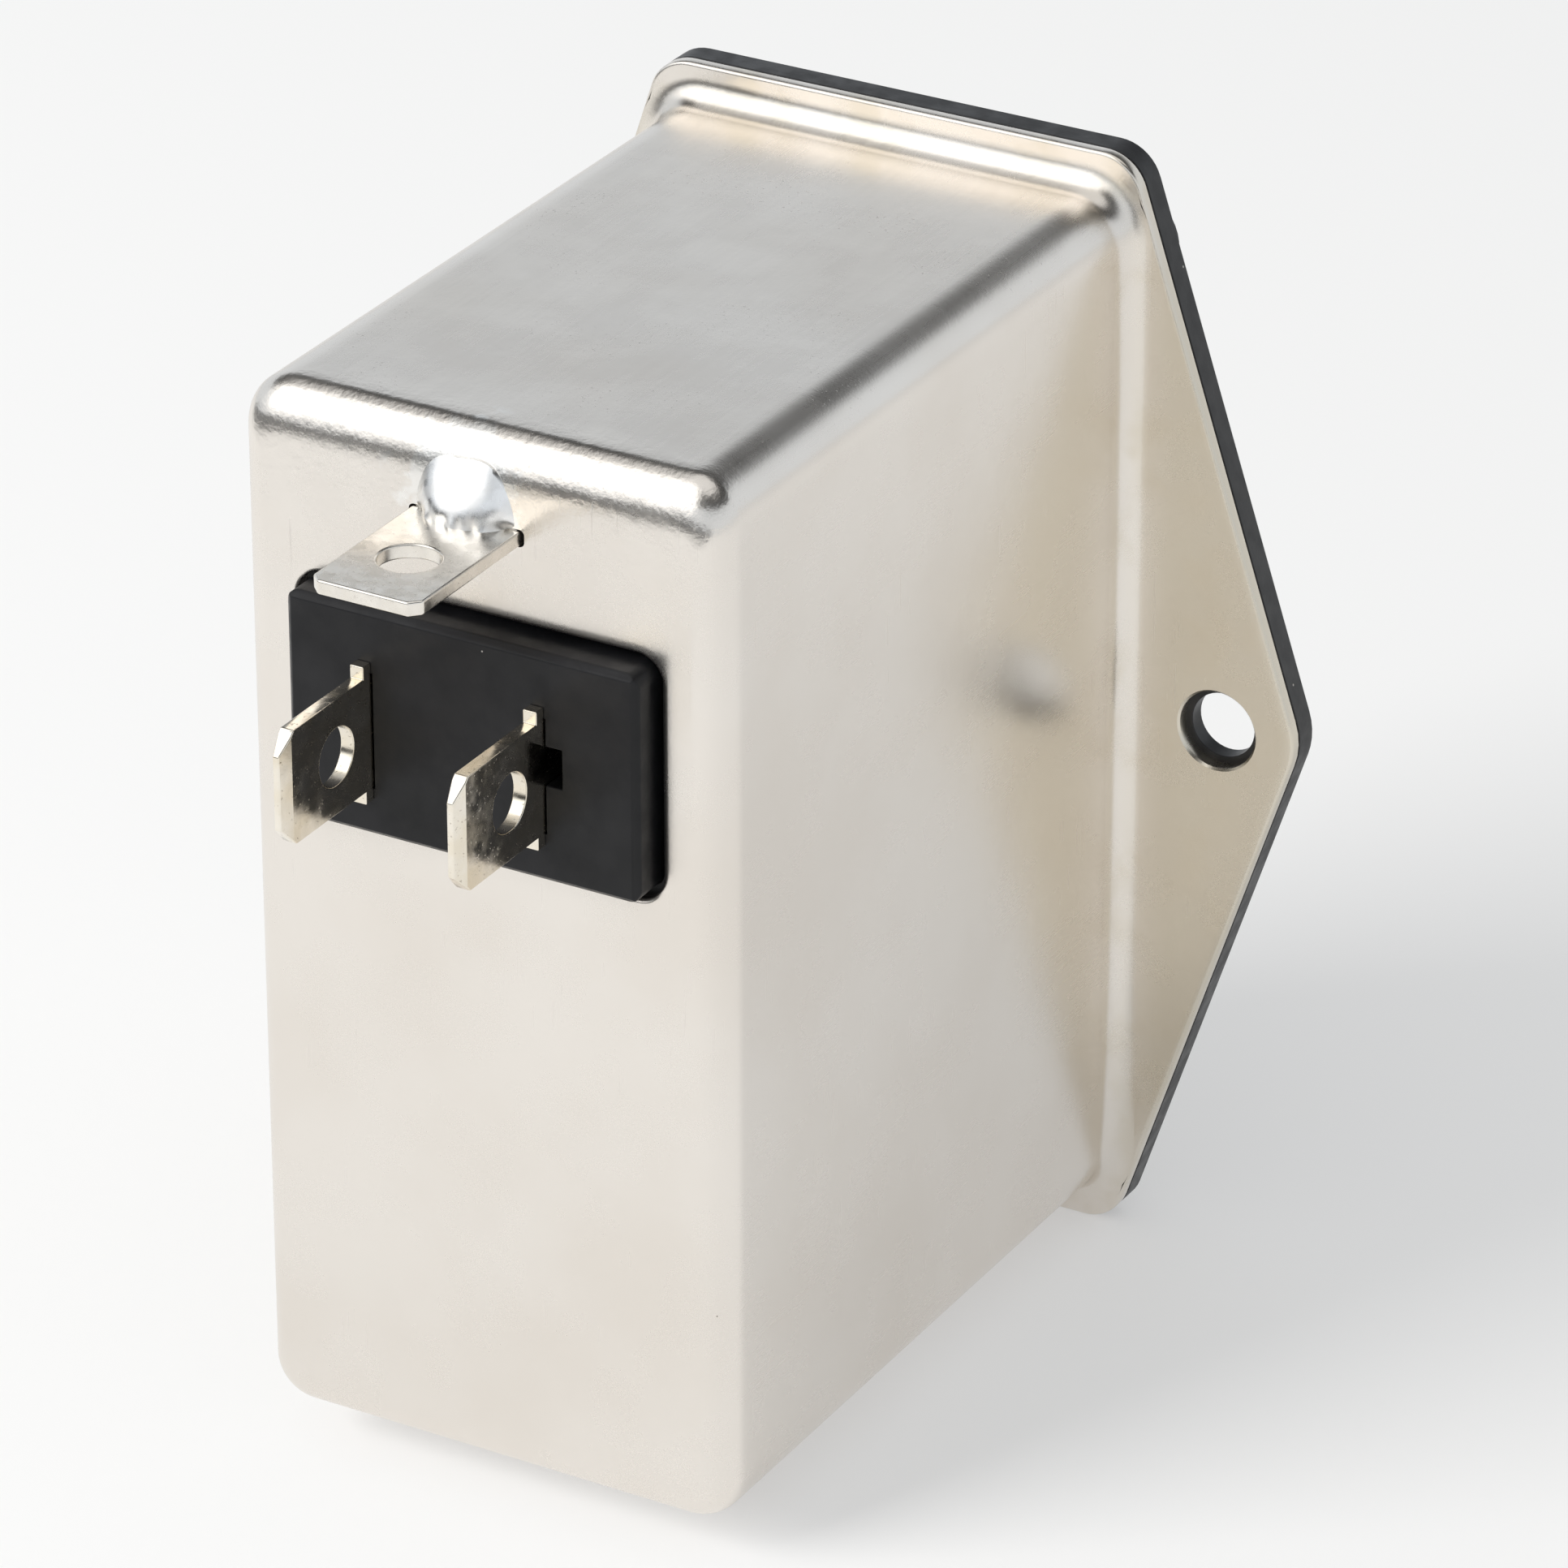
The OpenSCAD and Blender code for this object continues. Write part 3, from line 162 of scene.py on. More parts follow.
def grainOf(tree, place, scale, detail=2, stretch=(1, 1, 1), turn=(0, 0, 0)):
    # noise of so many grains a millimetre, drawn out along the axes where stretch is small
    laid = addNode(tree, "Mapping", {"Vector": place, "Rotation": turn, "Scale": stretch})
    made = addNode(tree, "TexNoise", {"Vector": laid.outputs[0], "Scale": scale, "Detail": detail})
    return made.outputs[0]


def rangeOf(tree, value, low, high, start, end):
    # carries low..high to start..end with soft ends
    made = addNode(tree, "MapRange", {"Value": value, "From Min": low, "From Max": high,
                                      "To Min": start, "To Max": end},
                   interpolation_type="SMOOTHSTEP")
    return made.outputs[0]


def sumOf(tree, first, second, operation="ADD"):
    return addNode(tree, "Math", {0: first, 1: second}, operation=operation).outputs[0]


def tinted(tree, factor, first, second):
    # first colour where the factor is 0, second where it is 1
    made = addNode(tree, "Mix", {0: factor, 6: first, 7: second}, data_type="RGBA")
    return made.outputs[2]


def raised(tree, height, distance, normal=None):
    # bump of so many millimetres between the lowest and the highest grain
    inputs = {"Height": height, "Distance": distance * mm, "Strength": 1}
    if normal:
        inputs["Normal"] = normal
    return addNode(tree, "Bump", inputs).outputs[0]


def specksOf(tree, place, scale, size, share):
    # round specks: one cell in so many keeps the spot about its middle
    cells = addNode(tree, "TexVoronoi", {"Vector": place, "Scale": scale, "Randomness": 1.0})
    spot = rangeOf(tree, cells.outputs["Distance"], size * scale, size * scale * 0.5, 0, 1)
    parts = addNode(tree, "SeparateColor", {"Color": cells.outputs["Color"]})
    kept = addNode(tree, "Math", {0: parts.outputs[0], 1: 1 - share}, operation="GREATER_THAN")
    return sumOf(tree, spot, kept.outputs[0], "MULTIPLY")


def newMaterial(name, metallic):
    # a material with its shader and its place on the object in millimetres
    material = bpy.data.materials.new(name)
    material.use_nodes = True
    tree = material.node_tree
    shader = tree.nodes["Principled BSDF"]
    shader.inputs["Metallic"].default_value = metallic
    origin = addNode(tree, "TexCoord", {}).outputs["Object"]
    place = addNode(tree, "Mapping", {"Vector": origin, "Scale": (1000, 1000, 1000)}).outputs[0]
    return material, tree, shader, place


def finish(tree, shader, **sockets):
    for key, value in sockets.items():
        tree.links.new(value, shader.inputs[key.replace("_", " ")])


def makeNickel():
    # drawn sheet with a satin nickel plate: fine grain, draw marks along the walls, an orange
    # peel where the sheet was stretched, scuffs, faint warm tone that varies at random, and painted
    # shade: a warm mottled darkening over the flange, deepest on its strips beside the walls
    material, tree, shader, place = newMaterial("nickel", 1)
    axes = addNode(tree, "SeparateXYZ", {"Vector": place})
    clouds = rangeOf(tree, grainOf(tree, place, 0.07, 4), 0.35, 0.7, 0, 1)
    color = tinted(tree, clouds, (0.84, 0.797, 0.742, 1), (0.80, 0.75, 0.688, 1))
    # painted shade: a mask over the flange and its bend, which the darkenings below are limited to
    flangeShadeMask = rangeOf(tree, axes.outputs[1], 1.6, 0.4, 0, 1)
    # painted shade over the flange, broken up by noise like a stain; the same mottle also deepens the
    # orange peel bump
    flangeShadeMottle = rangeOf(tree, grainOf(tree, place, 0.28, 5), 0.45, 0.72, 0, 0.6)
    flangeShadeMottle = sumOf(tree, flangeShadeMottle, flangeShadeMask, "MULTIPLY")
    # painted shade on the flange beyond the side walls, growing darker outwards
    wallSideShade = rangeOf(tree, sumOf(tree, axes.outputs[0], 0.0, "ABSOLUTE"), 13.5, 17.5, 0, 0.9)
    color = tinted(tree, sumOf(tree, flangeShadeMask, wallSideShade, "MULTIPLY"), color, (0.69, 0.64, 0.54, 1))
    color = tinted(tree, flangeShadeMottle, color, (0.70, 0.64, 0.53, 1))
    specks = specksOf(tree, place, 0.3, 0.07, 0.2)
    color = tinted(tree, specks, color, (0.30, 0.27, 0.23, 1))
    joint = (0.9, can["depth"], 26.4)
    spot = addNode(tree, "VectorMath", {0: place, 1: joint}, operation="DISTANCE").outputs["Value"]
    spot = sumOf(tree, spot, rangeOf(tree, grainOf(tree, place, 0.7, 3), 0.3, 0.7, -1.3, 1.3))
    wetted = rangeOf(tree, spot, 3.9, 2.6, 0, 0.8)
    color = tinted(tree, wetted, color, (0.93, 0.92, 0.89, 1))
    grain = grainOf(tree, place, 7, 2)
    draws = grainOf(tree, place, 5, 2, (1, 0.03, 1))
    peel = grainOf(tree, place, 1.1, 3)
    scratch = rangeOf(tree, grainOf(tree, place, 6, 1, (1, 1, 0.04), (0.5, 0.3, 0.6)), 0.69, 0.75, 0, 1)
    scuffed = rangeOf(tree, grainOf(tree, place, 0.16, 2), 0.52, 0.62, 0, 1)
    scratch = sumOf(tree, scratch, scuffed, "MULTIPLY")
    rough = rangeOf(tree, grainOf(tree, place, 0.25, 2), 0.3, 0.7, 0.25, 0.28)
    rough = sumOf(tree, rough, rangeOf(tree, draws, 0.3, 0.7, -0.006, 0.008))
    rough = sumOf(tree, rough, sumOf(tree, scratch, 0.1, "MULTIPLY"))
    stretched = sumOf(tree, rangeOf(tree, axes.outputs[2], 19, 27, 0, 1),
                      rangeOf(tree, axes.outputs[1], 38, 41, 0, 1), "MULTIPLY")
    deep = sumOf(tree, sumOf(tree, stretched, flangeShadeMottle, "MAXIMUM"), 5.0, "MULTIPLY")
    deep = sumOf(tree, sumOf(tree, deep, 1.0), peel, "MULTIPLY")
    sparkle = sumOf(tree, grainOf(tree, place, 3.6, 2), stretched, "MULTIPLY")
    normal = raised(tree, grain, 0.0022)
    normal = raised(tree, sparkle, 0.013, normal)
    normal = raised(tree, deep, 0.0045, normal)
    normal = raised(tree, draws, 0.0006, normal)
    normal = raised(tree, scratch, 0.002, normal)
    finish(tree, shader, Base_Color=color, Roughness=rough, Normal=normal)
    return material


def makePlated(name, light, dark, roughness, wear=1):
    # stamped and plated terminal metal: smooth, with small pits and thin rubbed marks
    material, tree, shader, place = newMaterial(name, 1)
    clouds = rangeOf(tree, grainOf(tree, place, 0.6, 4), 0.3, 0.7, 0, 1)
    color = tinted(tree, clouds, light, dark)
    pits = rangeOf(tree, grainOf(tree, place, 4.5, 2), 0.64, 0.72, 0, wear)
    color = tinted(tree, sumOf(tree, pits, 0.5, "MULTIPLY"), color, (0.35, 0.31, 0.25, 1))
    marks = grainOf(tree, place, 7, 2, (1, 0.2, 1), (0.3, 0, 0))
    rough = rangeOf(tree, grainOf(tree, place, 1.3, 3), 0.3, 0.7, roughness - 0.05, roughness + 0.07)
    rough = sumOf(tree, rough, sumOf(tree, pits, 0.15, "MULTIPLY"))
    normal = raised(tree, marks, 0.0015)
    normal = raised(tree, pits, 0.0035, normal)
    normal = raised(tree, grainOf(tree, place, 1.0, 2), 0.006, normal)
    finish(tree, shader, Base_Color=color, Roughness=rough, Normal=normal)
    return material


def makeSolder():
    # tin solder that has run and set: bright, with a rippled skin
    material, tree, shader, place = newMaterial("solder", 1)
    clouds = rangeOf(tree, grainOf(tree, place, 1.1, 3), 0.35, 0.7, 0, 1)
    color = tinted(tree, clouds, (0.95, 0.945, 0.935, 1), (0.88, 0.875, 0.86, 1))
    rough = rangeOf(tree, grainOf(tree, place, 1.6, 3), 0.35, 0.65, 0.24, 0.38)
    normal = raised(tree, grainOf(tree, place, 0.7, 2), 0.02)
    normal = raised(tree, grainOf(tree, place, 4, 2), 0.003, normal)
    finish(tree, shader, Base_Color=color, Roughness=rough, Normal=normal)
    return material


def makeMoulding(name, color, roughness, sheen=0.5, pit=0.004, dust=0.12):
    # glass-filled black nylon: a matte spark-eroded skin, paler rubbed places, a little dust
    material, tree, shader, place = newMaterial(name, 0)
    shader.inputs["Specular IOR Level"].default_value = sheen
    clouds = rangeOf(tree, grainOf(tree, place, 0.25, 4), 0.4, 0.75, 0, 1)
    rubbed = tuple(1.5 * c + 0.002 for c in color[:3]) + (1,)
    shade = tinted(tree, clouds, color, rubbed)
    shade = tinted(tree, specksOf(tree, place, 0.8, 0.085, dust), shade, (0.45, 0.43, 0.40, 1))
    lint = specksOf(tree, place, 0.3, 0.14, dust)
    shade = tinted(tree, lint, shade, (0.30, 0.28, 0.26, 1))
    rough = rangeOf(tree, grainOf(tree, place, 0.9, 4), 0.3, 0.7, roughness - 0.06, roughness + 0.08)
    normal = raised(tree, grainOf(tree, place, 5.5, 3), pit)
    normal = raised(tree, grainOf(tree, place, 0.7, 2), 0.01, normal)
    finish(tree, shader, Base_Color=shade, Roughness=rough, Normal=normal)
    return material


def makeFinish(name, light, dark, roughness, metallic=0, scale=1.5, height=0.004, stretch=(1, 1, 1)):
    # a plain finish whose colour, gloss and skin vary a little, for what sits inside
    material, tree, shader, place = newMaterial(name, metallic)
    grain = grainOf(tree, place, scale, 4, stretch)
    color = tinted(tree, rangeOf(tree, grain, 0.3, 0.7, 0, 1), (*light, 1), (*dark, 1))
    rough = rangeOf(tree, grain, 0.3, 0.7, roughness - 0.06, roughness + 0.08)
    normal = raised(tree, grainOf(tree, place, scale * 3, 2, stretch), height)
    finish(tree, shader, Base_Color=color, Roughness=rough, Normal=normal)
    return material


def joinedHalves(right, corner, upper, cornerB):
    # the outline's half from the right side to the left, then the same turned half round
    half = np.concatenate([right, corner, upper, cornerB])
    return np.concatenate([half, -half])


def roundedRing(a, b, r):
    # outline of a rounded rectangle in X and Z: right side up, top, left side down, bottom,
    # each corner a quarter turn of radius r
    places = can["places"]
    side = np.linspace(-1, 1, places["side"], endpoint=False)
    top = np.linspace(1, -1, places["top"], endpoint=False)
    turn = np.linspace(0, math.pi / 2, places["corner"], endpoint=False)
    right = np.stack([np.full_like(side, a), side * (b - r)], -1)
    corner = np.stack([a - r + r * np.cos(turn), b - r + r * np.sin(turn)], -1)
    upper = np.stack([top * (a - r), np.full_like(top, b)], -1)
    cornerB = np.stack([-(a - r) - r * np.sin(turn), b - r + r * np.cos(turn)], -1)
    return joinedHalves(right, corner, upper, cornerB)


def backRing(share):
    # outline of the back plate's rounding: share 1 is the flat plate's edge, 0 the walls
    turn = can["backRound"]
    side, top, low = share * turn["side"], share * turn["top"], share * turn["low"]
    radius = max(can["edgeRadius"] - side, 0.3)
    ring = roundedRing(can["halfWidth"] - side, can["halfHeight"] - (top + low) / 2, radius)
    return ring + np.array([0, (low - top) / 2])


def flangeRing(inset):
    # the six-sided outline with rounded corners, drawn in by inset, with as many
    # places as roundedRing so that the two can be joined place by place
    places = can["places"]
    a, b, c = can["topHalf"], can["flangeHalf"], can["tipHalf"]
    lean = math.atan2(c - a, b)  # angle between a sloping edge and Z
    rc, rt = can["cornerRadius"], can["tipRadius"]
    cornerZ = b - rc
    cornerX = c - (c - a) * cornerZ / b - rc / math.cos(lean)
    tipX = c - rt / math.cos(lean)
    rc, rt = rc - inset, rt - inset
    startZ = cornerZ + rc * math.sin(lean)
    z = np.linspace(-1, 1, places["side"], endpoint=False) * startZ
    slope = c - inset / math.cos(lean) - (c - a) * np.abs(z) / b
    arc = tipX + np.sqrt(np.maximum(rt * rt - z * z, 0))
    right = np.stack([np.where(np.abs(z) < rt * math.sin(lean), arc, slope), z], -1)
    turn = np.linspace(lean, math.pi / 2, places["corner"], endpoint=False)
    corner = np.stack([cornerX + rc * np.cos(turn), cornerZ + rc * np.sin(turn)], -1)
    upperX = np.linspace(1, -1, places["top"], endpoint=False) * cornerX
    upper = np.stack([upperX, np.full_like(upperX, b - inset)], -1)
    turnB = np.linspace(math.pi / 2, lean, places["corner"], endpoint=False)
    cornerB = np.stack([-cornerX - rc * np.cos(turnB), cornerZ + rc * np.sin(turnB)], -1)
    return joinedHalves(right, corner, upper, cornerB)


def windowRing(grow):
    # the terminal block's window, drawn out by grow
    w = can["window"]
    ring = roundedRing(w["halfWidth"] + grow, w["halfHeight"] + grow, w["radius"] + grow)
    return ring + np.array([w["x"], w["z"]])


def atDepth(ring, y):
    return np.stack([ring[:, 0], np.full(len(ring), y), ring[:, 1]], -1)


def canRings():
    # one closed skin: from the window's edge over the back plate and its round, along the wall,
    # round the bend, over the flange and its cut edge, and inside all the way back to the window
    a, b, depth, r = can["halfWidth"], can["halfHeight"], can["depth"], can["edgeRadius"]
    t, bend, e = can["sheet"], can["bendRadius"], can["cutRound"]
    deep = can["backRound"]["deep"]
    w = can["window"]["round"]
    count = can["rings"]
    right = math.pi / 2
    few = np.linspace(0, right, count["edge"])
    rings = [atDepth(windowRing(0), depth - t)]
    for q in few:
        rings.append(atDepth(windowRing(w * (1 - math.cos(q))), depth - w * (1 - math.sin(q))))
    rim, flat = windowRing(w), backRing(1)
    for k in np.linspace(0, 1, count["back"], endpoint=False)[1:]:
        rings.append(atDepth(rim * (1 - k) + flat * k, depth))
    for q in np.linspace(0, right, count["backRound"], endpoint=False):
        rings.append(atDepth(backRing(1 - math.sin(q)), depth - deep + deep * math.cos(q)))
    for y in np.linspace(depth - deep, bend, count["wall"], endpoint=False):
        rings.append(atDepth(roundedRing(a, b, r), y))
    for q in np.linspace(0, right, count["bend"], endpoint=False):
        out = bend * (1 - math.cos(q))
        rings.append(atDepth(roundedRing(a + out, b + out, r + out), bend * (1 - math.sin(q))))
    inner = roundedRing(a + bend, b + bend, r + bend)
    for k in np.linspace(0, 1, count["flange"], endpoint=False):
        rings.append(atDepth(inner * (1 - k) + flangeRing(e) * k, 0))
    for q in few:
        rings.append(atDepth(flangeRing(e * (1 - math.sin(q))), -e * (1 - math.cos(q))))
    for q in few:
        rings.append(atDepth(flangeRing(e * (1 - math.cos(q))), -t + e * (1 - math.sin(q))))
    for k in np.linspace(0, 1, count["inFlange"])[1:]:
        rings.append(atDepth(flangeRing(e) * (1 - k) + inner * k, -t))
    for q in few[::-1][1:]:
        out = bend - (bend + t) * math.cos(q)
        ring = roundedRing(a + out, b + out, r + out)
        rings.append(atDepth(ring, bend - (bend + t) * math.sin(q)))
    for y in np.linspace(bend, depth - deep, count["inWall"])[1:]:
        rings.append(atDepth(roundedRing(a - t, b - t, r - t), y))
    for q in few[::-1][1:]:
        inside = backRing(1) * (1 - math.sin(q)) + roundedRing(a - t, b - t, r - t) * math.sin(q)
        rings.append(atDepth(inside, depth - deep + (deep - t) * math.cos(q)))
    for k in np.linspace(0, 1, count["inBack"])[1:]:
        rings.append(atDepth(flat * (1 - k) + windowRing(0) * k, depth - t))
    return np.array(rings)


def cutterFrom(name, rings, depths):
    # closed cutter: outlines at their depths, each end drawn together to its middle
    ends = [rings[0] * 0 + rings[0].mean(0), rings[-1] * 0 + rings[-1].mean(0)]
    rows = [ends[0], *rings, ends[1]]
    levels = [depths[0], *depths, depths[-1]]
    return gridMesh(name, np.array([atDepth(r, y) for r, y in zip(rows, levels)]))


def circleRing(x, z, r, places=72):
    turn = np.linspace(0, 2 * math.pi, places, endpoint=False)
    return np.stack([x + r * np.cos(turn), z + r * np.sin(turn)], -1)


def slotRing():
    # a flat slot with rounded corners, 8 places to a corner
    s = can["slot"]
    turn = np.linspace(0, math.pi / 2, 8)
    a, b, r = s["width"] / 2 - s["radius"], s["height"] / 2 - s["radius"], s["radius"]
    parts = []
    for k, (sx, sz) in enumerate([(1, 1), (-1, 1), (-1, -1), (1, -1)]):
        q = turn + k * math.pi / 2
        x = s["x"] + sx * a + r * np.cos(q)
        z = s["z"] + sz * b + r * np.sin(q)
        parts.append(np.stack([x, z], -1))
    return np.concatenate(parts)


def cutBy(piece, cutters):
    # takes the cutters out of the piece
    for mesh in cutters:
        tool = bpy.data.objects.new("cutter", mesh)
        bpy.context.scene.collection.objects.link(tool)
        cut = piece.modifiers.new("cut", "BOOLEAN")
        cut.operation = "DIFFERENCE"
        cut.solver = "EXACT"
        cut.object = tool
        graph = bpy.context.evaluated_depsgraph_get()
        result = bpy.data.meshes.new_from_object(piece.evaluated_get(graph))
        piece.modifiers.remove(cut)
        piece.data = result
        bpy.data.objects.remove(tool)
    return piece


def makeCan(material):
    piece = linked("can", gridMesh("can", canRings()), "housing", material)
    hole, depth, room = can["hole"], can["depth"], can["cutRoom"]
    through = [depth - room["in"], depth + room["out"]]
    cutters = [cutterFrom("slotCut", [slotRing(), slotRing()], through)]
    for side in (-1, 1):
        narrow = circleRing(side * hole["x"], 0, hole["radius"])
        wide = circleRing(side * hole["x"], 0, hole["radius"] + 2 * hole["bevel"])
        depths = [-room["in"], -hole["bevel"], hole["bevel"]]
        cutters.append(cutterFrom("holeCut", [narrow, narrow, wide], depths))
    cutBy(piece, cutters)
    smoothed(piece.data, 32)
    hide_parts("shield_can")
    return piece


earthJoint = {
    "x": 0.55,
    "half": 2.42,  # half its width
    "corner": (42.0, 24.92),  # Y and Z of the corner that it fills
    "alongTab": 1.45,
    "upPlate": 3.5,
    "places": (97, 49),
}


def makeJoint(material):
    # soldered joint between tab and can. At angle q from the tab its skin stands off the corner
    # by 1 / (cos q / alongTab + sin q / upPlate), a straight fillet, swollen by up to 14 percent
    # in the middle; it falls away to both ends as a flattened arch, and low waves run over it
    part = earthJoint
    count, steps = part["places"]
    across = np.linspace(-1, 1, count)[:, None]
    q = np.linspace(-0.12, math.pi / 2 + 0.05, steps)[None, :]
    tabward, upward = np.maximum(np.cos(q), 0.02), np.maximum(np.sin(q), 0.02)
    reach = 1 / (tabward / part["alongTab"] + upward / part["upPlate"])
    reach = np.minimum(reach, np.where(q < 0.8, part["alongTab"] * 1.15, part["upPlate"]))
    arch = (1 - np.abs(across) ** 3) ** 0.62
    low = np.exp(-(q / 0.3) ** 2)
    waves = 0.03 * np.sin(4.1 * across + 0.7) * np.sin(3 * q + 0.4) + 0.05 * np.sin(8 * across + 2) * low
    waves = waves + 0.03 * np.sin(19 * across + 1) * low
    reach = reach * (1 + 0.14 * np.sin(2 * np.clip(q, 0, math.pi / 2)) + waves) * arch
    lean = 1 + 0.22 * np.sin(np.clip(q, 0, 1.6)) ** 3  # it runs wider up the plate
    x = part["x"] + part["half"] * across * lean
    y = part["corner"][0] + reach * np.cos(q)
    z = part["corner"][1] + reach * np.sin(q)
    skin = np.stack([x + 0 * q, y, z], -1)
    heel = np.stack([x[:, :1], np.full((count, 1), part["corner"][0]),
                     np.full((count, 1), part["corner"][1])], -1)
    points = np.concatenate([skin, heel], 1)
    mesh = smoothed(gridMesh("solderJoint", points), 60)
    piece = linked("solderJoint", mesh, "housing", material)
    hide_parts("earth_solder")
    return piece


earthTab = {
    "x": 0.5,
    "half": 3.15,
    "root": 36.0,  # Y inside the can
    "tip": 51.7,
    "clip": 0.55,  # what is cut off each corner of the tip
    "under": 24.2,
    "thick": 0.8,
    "hole": {"y": 47.4, "radius": 1.6},
    "edge": 0.13,
}


def makeTab(material):
    # flat stamped tab: its outline carried through its thickness, with a round hole
    part = earthTab
    x, half, clip, tip = part["x"], part["half"], part["clip"], part["tip"]
    outline = [(x - half, part["root"]), (x + half, part["root"]), (x + half, tip - clip),
               (x + half - clip, tip), (x - half + clip, tip), (x - half, tip - clip)]
    low, top = part["under"], part["under"] + part["thick"]
    verts = [(a * mm, b * mm, c * mm) for c in (low, top) for a, b in outline]
    n = len(outline)
    sides = [(i, (i + 1) % n, (i + 1) % n + n, i + n) for i in range(n)]
    mesh = bpy.data.meshes.new("earthTab")
    mesh.from_pydata(verts, [], [tuple(reversed(range(n))), tuple(range(n, 2 * n)), *sides])
    piece = linked("earthTab", mesh, "housing", material)
    hole = part["hole"]
    ring = circleRing(x, hole["y"], hole["radius"], 48)
    rows = [ring * 0 + ring.mean(0), ring, ring, ring * 0 + ring.mean(0)]
    room = can["cutRoom"]["out"]
    levels = [low - room, low - room, top + room, top + room]
    points = [np.stack([r[:, 0], r[:, 1], np.full(len(r), z)], -1) for r, z in zip(rows, levels)]
    cutBy(piece, [gridMesh("tabHole", np.array(points))])
    smoothed(piece.data)
    roundEdges(piece, part["edge"], 3)
    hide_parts("earth_tab")
    return piece


finishes = {
    "nickel_steel": makeNickel(),
    "black_moulding": makeMoulding("blackMoulding", (0.008, 0.008, 0.009, 1), 0.40),
    "rocker_black": makeMoulding("rockerBlack", (0.006, 0.006, 0.007, 1), 0.26, 0.5, 0.001, 0.03),
    "plated_brass": makePlated("platedBrass", (0.88, 0.83, 0.74, 1), (0.82, 0.75, 0.62, 1), 0.17),
    "spring_brass": makePlated("springBrass", (0.85, 0.66, 0.36, 1), (0.74, 0.54, 0.27, 1), 0.24),
    "tinned_steel": makePlated("tinnedSteel", (0.88, 0.84, 0.78, 1), (0.82, 0.78, 0.71, 1), 0.24, 0.3),
    "solder": makeSolder(),
    "board": makeFinish("laminate", (0.06, 0.20, 0.09), (0.05, 0.16, 0.08), 0.35, scale=1.2),
    "ferrite": makeFinish("ferrite", (0.05, 0.07, 0.065), (0.09, 0.12, 0.11), 0.5, scale=3, height=0.01),
    "copper_wire": makeFinish("copperWire", (0.72, 0.30, 0.12), (0.50, 0.18, 0.07), 0.22, 1, 0.8, 0.002),
    "pale_plastic": makeFinish("palePlastic", (0.78, 0.76, 0.70), (0.70, 0.68, 0.61), 0.45),
    "capacitor_yellow": makeFinish("yellowBox", (0.78, 0.52, 0.07), (0.68, 0.43, 0.05), 0.35),
    "capacitor_blue": makeFinish("blueDip", (0.05, 0.17, 0.45), (0.04, 0.12, 0.34), 0.25, height=0.012),
    "resistor_tan": makeFinish("tanLacquer", (0.66, 0.50, 0.33), (0.56, 0.41, 0.26), 0.35),
    "lead_brown": makeFinish("brownSleeve", (0.16, 0.07, 0.03), (0.12, 0.05, 0.025), 0.4),
    "lead_blue": makeFinish("blueSleeve", (0.03, 0.10, 0.36), (0.025, 0.08, 0.28), 0.4),
    "lead_green": makeFinish("greenSleeve", (0.55, 0.50, 0.05), (0.08, 0.26, 0.06), 0.4, scale=0.5),
    "sleeve_film": makeFinish("film", (0.74, 0.69, 0.55), (0.66, 0.60, 0.46), 0.3, scale=0.8),
}

blockFinish = makeMoulding("blockMoulding", (0.0045, 0.0045, 0.0055, 1), 0.42, 0.33)

moulded = [
    {"node": "front_housing", "name": "frontMoulding", "edge": 0.3},
    {"node": "terminal_block", "name": "terminalBlock", "edge": 0.14, "finish": blockFinish},
    {"node": "switch_body", "name": "switchBody", "edge": 0.2},
    {"node": "rocker", "name": "rockerCap", "edge": 0.25, "segments": 3},
    {"node": "fuse_drawer", "name": "fuseDrawer", "edge": 0.2},
    {"node": "line_blade", "name": "lineBlade", "edge": 0.07, "segments": 3},
    {"node": "neutral_blade", "name": "neutralBlade", "edge": 0.07, "segments": 3},
]


def dressRest(slotOf, replaced):
    # the solids whose shape is right keep it and take the finish of their slot
    for name, thing in nodes.items():
        if name in replaced or slotOf[name] not in finishes:
            continue
        for place in thing.material_slots:
            place.material = finishes[slotOf[name]]


print("can")
slotOf = {row["node"]: row["material_slot"] for row in frame["record"]["subparts"]}
makeCan(finishes["nickel_steel"])
print("tab and its soldered joint")
makeJoint(finishes["solder"])
makeTab(finishes["tinned_steel"])
print("mouldings and terminals")
for part in moulded:
    part["slot"] = slotOf[part["node"]]
    part.setdefault("finish", finishes[part["slot"]])
    softened(part)
dressRest(slotOf, {"shield_can", "earth_solder", "earth_tab"} | {part["node"] for part in moulded})

view = {
    "place": (-0.2054, 0.3687, 0.2069),
    "right": (-0.867, -0.498, -0.001),
    "up": (0.226, -0.394, 0.891),
    "lens": 198.3,
}

studio = {
    "ground": 0.88,  # how pale the floor is
    "lift": 0.38,  # share of plain white in it, where it is seen or mirrored
    "fill": 0.58,  # light from all round on what isn't shiny
    "band": (0.775, 0.815, 0.86),  # pale backdrop low all round, as metal sees it
    "dark": 0.03,  # the room above the backdrop
    "above": 0.85,
    "box": 1.75,  # the large soft box
    "wallEdge": (0.58, 0.45),  # heights, as sines, between which the backdrop starts
    "roofEdge": (0.80, 0.90),
    "boxEdge": (0.80, 0.93),  # cosines from the soft box's middle to its edge
    "lamp": {"size": 0.5, "power": 9.0, "away": 0.95, "color": (1.0, 0.985, 0.96)},
    "boxFrom": (0.444, 0.62, 0.64),
    "lampFrom": (0.50, 0.72, 0.50),
    "flag": {"away": 0.30, "toward": (0.45, 0.89), "half": 0.6, "height": 0.075, "shade": 0.03},
}


